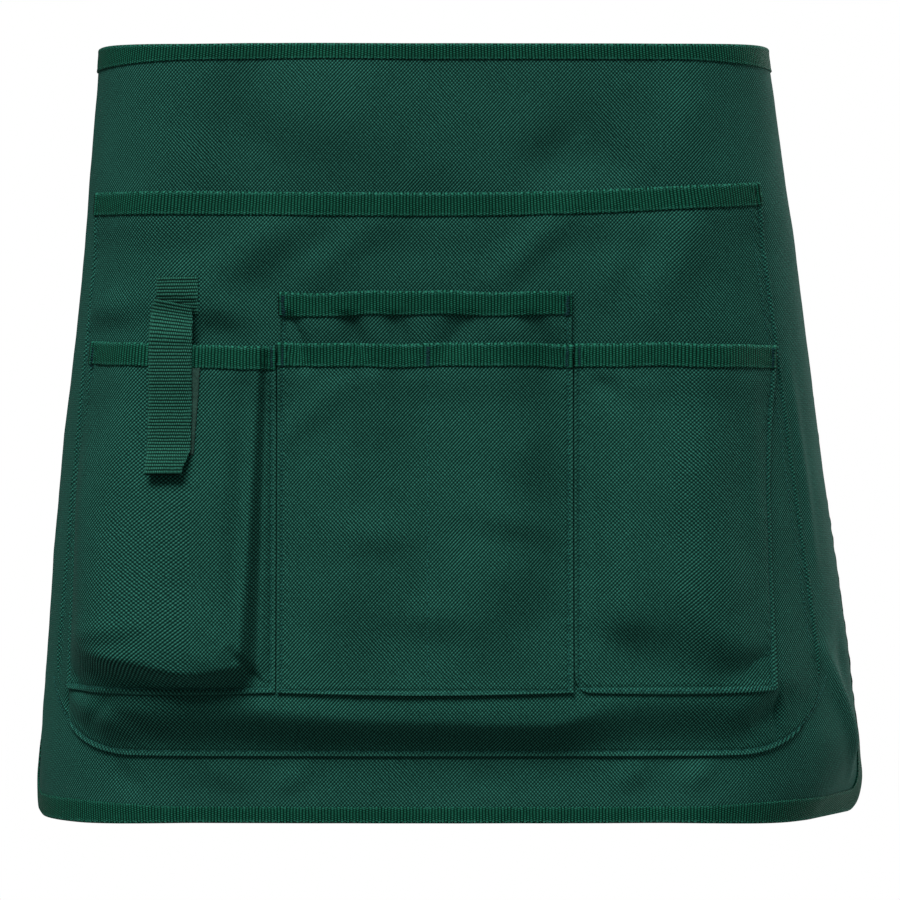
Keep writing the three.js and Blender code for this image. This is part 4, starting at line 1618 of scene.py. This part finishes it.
        us, vs = np.linspace(-1, 1, 19), np.linspace(0, self.tab_length, 28)
        name = "closure_tab_webbing"
        tab = shop.sheet(name, us, vs, points, Finish.WEBBING, [], self.thickness, turned=True)

    def loop(self) -> None:
        """Builds the fuzzy strip under the strap."""
        shop, layers = self.shop, self.shop.layers
        top = layers.row_top - layers.tape_fold - 1

        def points(u: Array, v: Array) -> Marks:
            """Points, map and wear of the strip, v running down from its top.

            Args:
                u: the sheet's first places.
                v: the sheet's second places.

            Returns:
                The points, the map and the wear.
            """
            z = top - v
            shift = mix(*self.loop_shift, v / self.loop_length)
            s = self.middle(z) + shift + u * self.half(layers.left, z)
            base, normal = shop.wrap.surface(layers.left, s, z)
            fuzz = 0.18 * np.sin(s * 5.1 + z * 3.3) * np.sin(z * 4.7 - s * 2.9)
            off = layers.cloth / 2 + 0.6 + fuzz
            return base + normal * off[:, None], np.stack([v, u * self.width / 2], axis=-1), 0 * u

        us, vs = np.linspace(-1, 1, 60), np.linspace(0, self.loop_length, 110)
        name, nodes = "loop_tape_fuzz", ["loop_tape"]
        strip = shop.sheet(name, us, vs, points, Finish.LOOP, nodes, self.loop_thickness, turned=True)
        self.loop_length * MM

    def waist_line(self, side: float, z: float) -> Array:
        """Follows one edge of a waist strap from the panel to the plate and back on itself.

        Args:
            side: -1 for the viewer's left, 1 for the right.
            z: height of the edge.

        Returns:
            The points of the edge, in millimetres.
        """
        wrap, plate = self.shop.wrap, Buckle(self.shop)
        turn = (plate.thickness + self.thickness) / 2 + 0.5
        bar_x, back_y = plate.width / 2 - plate.bar, wrap.waist_depth / 2
        # Behind the panel the strap clears the cloth, its tape and both its own walls.
        inside = -(0.6 + 0.6 + 0.8 + 0.9 + 0.75)
        end = float(wrap.reach(np.float64(z))) - wrap.hem_corner / 4
        s = side * (end - self.waist_lap * (1 - np.linspace(0, 1, 16)))
        start = wrap.place(s, np.full_like(s, z), np.full_like(s, inside))
        leaving = unit((start[-1] - start[-2]) * [1, 1, 0])
        last = np.array([side * bar_x, back_y + turn, z])
        pull = start[-1] + leaving * wrap.waist_depth * 0.34
        arrive = last + [side * wrap.waist_depth * 0.42, 0, 0]
        t = np.linspace(0, 1, 120)[1:, None]
        curve = (1 - t) ** 3 * start[-1] + 3 * t * (1 - t) ** 2 * pull
        curve = curve + 3 * t**2 * (1 - t) * arrive + t**3 * last
        angle = np.linspace(0, math.pi, 18)[1:]
        x, y = side * (bar_x - turn * np.sin(angle)), back_y + turn * np.cos(angle)
        round_bar = np.stack([x, y, np.full_like(angle, z)], axis=-1)
        clear = np.array([[side * (plate.width / 2 + 2), back_y - turn, z]])
        tail = np.array([[side * (bar_x + 32), back_y + turn - self.thickness - 0.8, z]])
        back = mix(clear, tail, np.linspace(0, 1, 14)[:, None])
        return np.concatenate([start, curve, round_bar, back])

    def waist(self, side: float, name: str) -> None:
        """Builds one waist strap along the line of its solid.

        Args:
            side: -1 for the viewer's left, 1 for the right.
            name: the solid that it stands for.
        """
        high = self.waist_line(side, -self.waist_drop)
        low = self.waist_line(side, -self.waist_drop - self.width)
        run = run_along(low)

        def points(u: Array, v: Array) -> Marks:
            """Points, map and wear of the strap, u running along it.

            Args:
                u: the sheet's first places.
                v: the sheet's second places.

            Returns:
                The points, the map and the wear.
            """
            i = np.rint(u).astype(int)
            chart = np.stack([run[i], v * self.width], axis=-1)
            return mix(low[i], high[i], v[:, None]), chart, np.abs(v - 0.5) * 0.4

        us, vs = np.arange(len(low), dtype=float), np.linspace(0, 1, 13)
        strap = self.shop.sheet(f"{name}_webbing", us, vs, points, Finish.WEBBING, [name], self.thickness)
        flat = (float(run[-1]) * MM, self.width * MM)


@dataclass
class Buckle:
    """Plain plate with a slot for each waist strap."""

    shop: Workshop
    width: float = 62.0
    height: float = 34.0
    bar: float = 5.0
    slot: float = 8.0
    thickness: float = 4.0
    drop: float = 18.0
    corner: float = 3.4
    softness: float = 0.7

    def build(self) -> None:
        """Builds the plate: a flat grid with its slots taken out, walled and rounded."""
        half, tall = self.width / 2, self.height / 2
        columns = [-half, -half + self.bar, -half + self.bar + self.slot]
        columns = [*columns, *(-x for x in reversed(columns))]
        rows = [-tall, -tall + self.bar, tall - self.bar, tall]
        bm = bmesh.new()
        bmesh.ops.create_grid(bm, x_segments=len(columns) - 1, y_segments=len(rows) - 1, size=1.0)
        for vert in bm.verts:
            column = round((vert.co.x + 1) / 2 * (len(columns) - 1))
            row = round((vert.co.y + 1) / 2 * (len(rows) - 1))
            vert.co = Vector((columns[column], rows[row], 0)) * MM
        slots = [face for face in bm.faces if self.is_slot(face.calc_center_median())]
        bmesh.ops.delete(bm, geom=slots, context="FACES_ONLY")
        bmesh.ops.recalc_face_normals(bm, faces=bm.faces)
        bmesh.ops.solidify(bm, geom=bm.faces[:], thickness=self.thickness * MM)
        corners = [e for e in bm.edges if self.is_corner(e)]
        bmesh.ops.bevel(
            bm, geom=corners, offset=self.corner * MM, affect="EDGES", segments=5, profile=0.5, material=-1
        )
        upright = Matrix.Rotation(math.radians(90), 4, "X")
        bmesh.ops.transform(bm, matrix=upright, verts=bm.verts)
        depth = [v.co.y for v in bm.verts]
        back = (self.shop.wrap.waist_depth / 2 + self.thickness) * MM
        shift = Vector((0, back - max(depth), -self.drop * MM))
        bmesh.ops.translate(bm, vec=shift, verts=bm.verts)
        bmesh.ops.recalc_face_normals(bm, faces=bm.faces)
        plate = self.shop.dress(mesh_from(bm, "waist_buckle_plate"), Finish.BUCKLE, ["waist_buckle"])
        soft = plate.modifiers.new("soft_edges", "BEVEL")
        soft.width = self.softness * MM
        soft.segments = 3
        soft.limit_method = "ANGLE"
        LOG.info("built the buckle")

    def is_slot(self, middle: Vector) -> bool:
        """True for the middle of either slot's face."""
        return abs(middle.y) < MM and 0.3 < abs(middle.x) / (self.width / 2 * MM) < 0.8

    def is_corner(self, edge: bmesh.types.BMEdge) -> bool:
        """True for the four edges through the plate at its outer corners.

        Args:
            edge: an edge of the plate.

        Returns:
            Whether it is one of the four.
        """
        a, b = (vert.co for vert in edge.verts)
        through = abs(a.z - b.z) > 0.9 * self.thickness * MM
        x, y = abs(a.x) - self.width / 2 * MM, abs(a.y) - self.height / 2 * MM
        return through and max(abs(x), abs(y)) < 0.01 * MM


@dataclass
class Stitching:
    """Rows of sewing thread and the bar tacks at the pockets' corners."""

    shop: Workshop
    pitch: float = 2.7
    length: float = 1.9
    gauge: float = 0.34
    margin: float = 2.4
    tack_count: int = 15
    tack_half: float = 1.5

    def build(self) -> None:
        """Builds every row as one piece for each pocket, and the tacks."""
        layers, margin = self.shop.layers, self.margin
        left, right = layers.left_inner_seam, layers.right_inner_seam
        span = np.linspace(0, 1, 400)
        low, tape = layers.row_bottom + 1.6, layers.row_top - layers.tape_fold
        down = mix(tape, low, span)
        inner_down = mix(layers.inner_top - layers.tape_fold, layers.row_top + 2, span)
        side_z = mix(layers.large_top - 6, layers.large_bottom + layers.large_corner_rise + 4, span)
        left_side, right_side = (layers.large_side(np.full_like(span, x), side_z) for x in (-1, 1))
        hem = mix(-1.0, 1.0, span)
        hem_side = layers.large_side(hem, layers.large_bottom)
        left_low, right_low = layers.left_outer(np.float64(low)), layers.right_outer(np.float64(low))
        sag = np.sin(math.pi * span)
        self.rows("large_pocket_thread", layers.large, [
            (margin - left_side, side_z),
            (right_side - margin, side_z),
            (right_side - 8, side_z),
            (hem * (hem_side - 3), layers.large_seam(0.985 * hem * hem_side) + 2.6),
        ])
        self.rows("left_pocket_thread", layers.left, [
            (left - 3.2 + 0 * span, down),
            (mix(left_low + 3, left - 4, span), low + 0 * span),
            (layers.left_outer(down) + margin, down),
        ])
        self.rows("middle_pocket_thread", layers.middle, [
            (left + 2.2 + 0 * span, down),
            (layers.stitch_seam + 0 * span, mix(layers.row_top - 1, low, span)),
            (right - 2.2 + 0 * span, down),
            (mix(left + 3, right - 3, span), low - 2.1 * sag),
        ])
        self.rows("right_pocket_thread", layers.right, [
            (right + 3.2 + 0 * span, down),
            (layers.right_outer(down) - margin, down),
            (mix(right + 4, right_low - 3, span), low - 0.9 * sag),
        ])
        self.rows("inner_pocket_thread", layers.inner, [
            (left + 3 + 0 * span, inner_down),
            (right - 3 + 0 * span, inner_down),
        ])
        self.tacks()
        LOG.info("sewed the seams")

    def rows(self, name: str, height: Height, lines: Sequence[tuple[Array, Array]]) -> None:
        """Sews the rows of one pocket.

        Args:
            name: the piece's name.
            height: stand-off of the pocket's cloth.
            lines: the places s and z along each row.
        """
        bm = bmesh.new()
        for s, z in lines:
            self.row(bm, height, s, z)
        self.finish(bm, name, Finish.THREAD)

    def finish(self, bm: bmesh.types.BMesh, name: str, finish: Finish) -> None:
        """Makes a piece of thread.

        Args:
            bm: the shape, which is used up.
            name: the piece's name.
            finish: its thread.
        """
        for face in bm.faces:
            face.smooth = True
        self.shop.dress(mesh_from(bm, name), finish, [])

    @staticmethod
    def stitch(
        bm: bmesh.types.BMesh,
        middle: Vector,
        along: Vector,
        out: Vector,
        size: tuple[float, float, float],
    ) -> None:
        """Adds one rounded length of thread.

        Args:
            bm: the mesh that takes it.
            middle: its middle, in millimetres.
            along: its direction.
            out: the way out of the cloth.
            size: half its length, width and depth.
        """
        turn = Matrix((along, out.cross(along).normalized(), out)).transposed().to_4x4()
        place = Matrix.Scale(MM, 4) @ Matrix.Translation(middle) @ turn @ Matrix.Diagonal((*size, 1.0))
        bmesh.ops.create_uvsphere(bm, u_segments=6, v_segments=4, radius=1.0, matrix=place)

    def row(self, bm: bmesh.types.BMesh, height: Height, s: Array, z: Array) -> None:
        """Adds a row of stitches along a line of places.

        Args:
            bm: the mesh that takes them.
            height: stand-off of the cloth.
            s: places across.
            z: places down.
        """
        base, normal = self.shop.wrap.surface(height, s, z)
        base = base + normal * (self.shop.layers.cloth / 2)
        run = run_along(base)
        size = (self.length / 2, self.gauge, self.gauge * 0.8)

        def read(table: Array, at: float) -> Vector:
            """Row of a table at a length along the line."""
            return Vector([float(np.interp(at, run, table[:, k])) for k in range(3)])

        for at in np.arange(self.pitch / 2, run[-1], self.pitch):
            middle, out = read(base, at), read(normal, at).normalized()
            along = (read(base, min(at + 1, run[-1])) - middle).normalized()
            self.stitch(bm, middle + out * 0.06, along, out, size)

    def tacks(self) -> None:
        """Adds the dense bar tacks over the ends of the small pockets' tapes."""
        layers = self.shop.layers
        left, right, row = layers.left_inner_seam, layers.right_inner_seam, layers.row_top
        ends = (
            (layers.left, left - 3.4, row),
            (layers.middle, left + 2.4, row),
            (layers.middle, layers.stitch_seam, row),
            (layers.middle, right - 2.4, row),
            (layers.right, right + 3.4, row),
            (layers.right, layers.right_outer_seam - 2.6, row),
            (layers.left, layers.left_outer_seam + 2.6, row),
            (layers.inner, left + 3.6, layers.inner_top),
            (layers.inner, right - 3.6, layers.inner_top),
        )
        off = layers.cloth / 2 + layers.tape + 0.12
        sideways = np.where(np.arange(self.tack_count) % 2 == 0, -self.tack_half, self.tack_half)
        bm = bmesh.new()
        for height, s, top in ends:
            z = top - 0.6 - np.linspace(0, layers.tape_fold - 0.8, self.tack_count)
            base, normal = self.shop.wrap.surface(height, np.full_like(z, s), z)
            base[:, 0] += sideways
            for i in range(self.tack_count - 1):
                here, there, out = Vector(base[i]), Vector(base[i + 1]), Vector(normal[i])
                size = ((there - here).length / 2 + 0.15, 0.32, 0.28)
                self.stitch(bm, (here + there) / 2 + out * off, (there - here).normalized(), out, size)
        self.finish(bm, "bar_tacks", Finish.TACK)


@dataclass
class Studio:
    """Pale floor, soft light and the camera."""

    floor_drop: float = 1.0
    floor_half: float = 4.0
    floor_grey: float = 0.62
    key: float = 3.8
    rim: float = 3.2
    ambient: float = 0.25
    lens: float = 185.6
    film: float = 36.0
    eye: tuple[float, float, float] = (8.9, -2625.0, -218.0)

    def build(self) -> None:
        """Builds the floor, the lights and the camera."""
        bm = bmesh.new()
        bmesh.ops.create_grid(bm, x_segments=1, y_segments=1, size=self.floor_half)
        bmesh.ops.translate(bm, vec=(0, 0, -self.floor_drop), verts=bm.verts)
        mesh = mesh_from(bm, "floor")
        mesh.materials.append(Matt("pale_floor", (self.floor_grey,) * 3).make())
        floor = put("floor", mesh)
        floor.visible_diffuse = False
        self.sun("key", self.key, (0.24, 0.75, -1.0), 30)
        self.sun("rim", self.rim, (-0.8, -0.7, -0.1), 60)
        self.sky_light()
        self.camera()
        bpy.context.scene.view_settings.view_transform = "Standard"
        LOG.info("set the studio")

    def sun(self, name: str, energy: float, towards: tuple[float, float, float], spread: float) -> None:
        """Adds a broad light.

        Args:
            name: its name.
            energy: its strength.
            towards: the way that it shines.
            spread: its width in degrees.
        """
        light = bpy.data.lights.new(name, "SUN")
        light.energy = energy
        light.angle = math.radians(spread)
        lamp = put(name, light)
        lamp.rotation_mode = "QUATERNION"
        lamp.rotation_quaternion = Vector(towards).to_track_quat("-Z", "Y")

    def sky_light(self) -> None:
        """Surrounds the scene with even white light."""
        world = bpy.data.worlds.new("studio")
        world.use_nodes = True
        nodes = Nodes(world.node_tree)
        seen = Wire(nodes, nodes.node("ShaderNodeLightPath", {}, {}).outputs["Is Camera Ray"])
        strength = self.ambient + (1 - self.ambient) * seen
        light = nodes.node("ShaderNodeBackground", {}, {"Color": (1.0, 1.0, 1.0, 1.0), "Strength": strength})
        nodes.node("ShaderNodeOutputWorld", {}, {"Surface": Wire(nodes, light.outputs[0])})
        bpy.context.scene.world = world

    def camera(self) -> None:
        """Puts the camera at the photograph's place."""
        data = bpy.data.cameras.new("camera")
        data.lens = self.lens
        data.sensor_width = self.film
        data.clip_end = 200.0
        camera = put("camera", data)
        camera.location = Vector(self.eye) * MM
        camera.rotation_euler = (math.radians(90), 0, 0)
        bpy.context.scene.camera = camera


def main() -> None:
    """Builds the apron's looks in order."""
    logging.basicConfig(level=logging.INFO, format="%(name)s: %(message)s")
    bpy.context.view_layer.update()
    shop = Workshop(Layers(Wrap()), finishes())
    Studio().build()
    Buckle(shop).build()
    Panel(shop).build()
    Pockets(shop).build()
    Straps(shop).build()
    Stitching(shop).build()


if __name__ == "__main__":
    main()
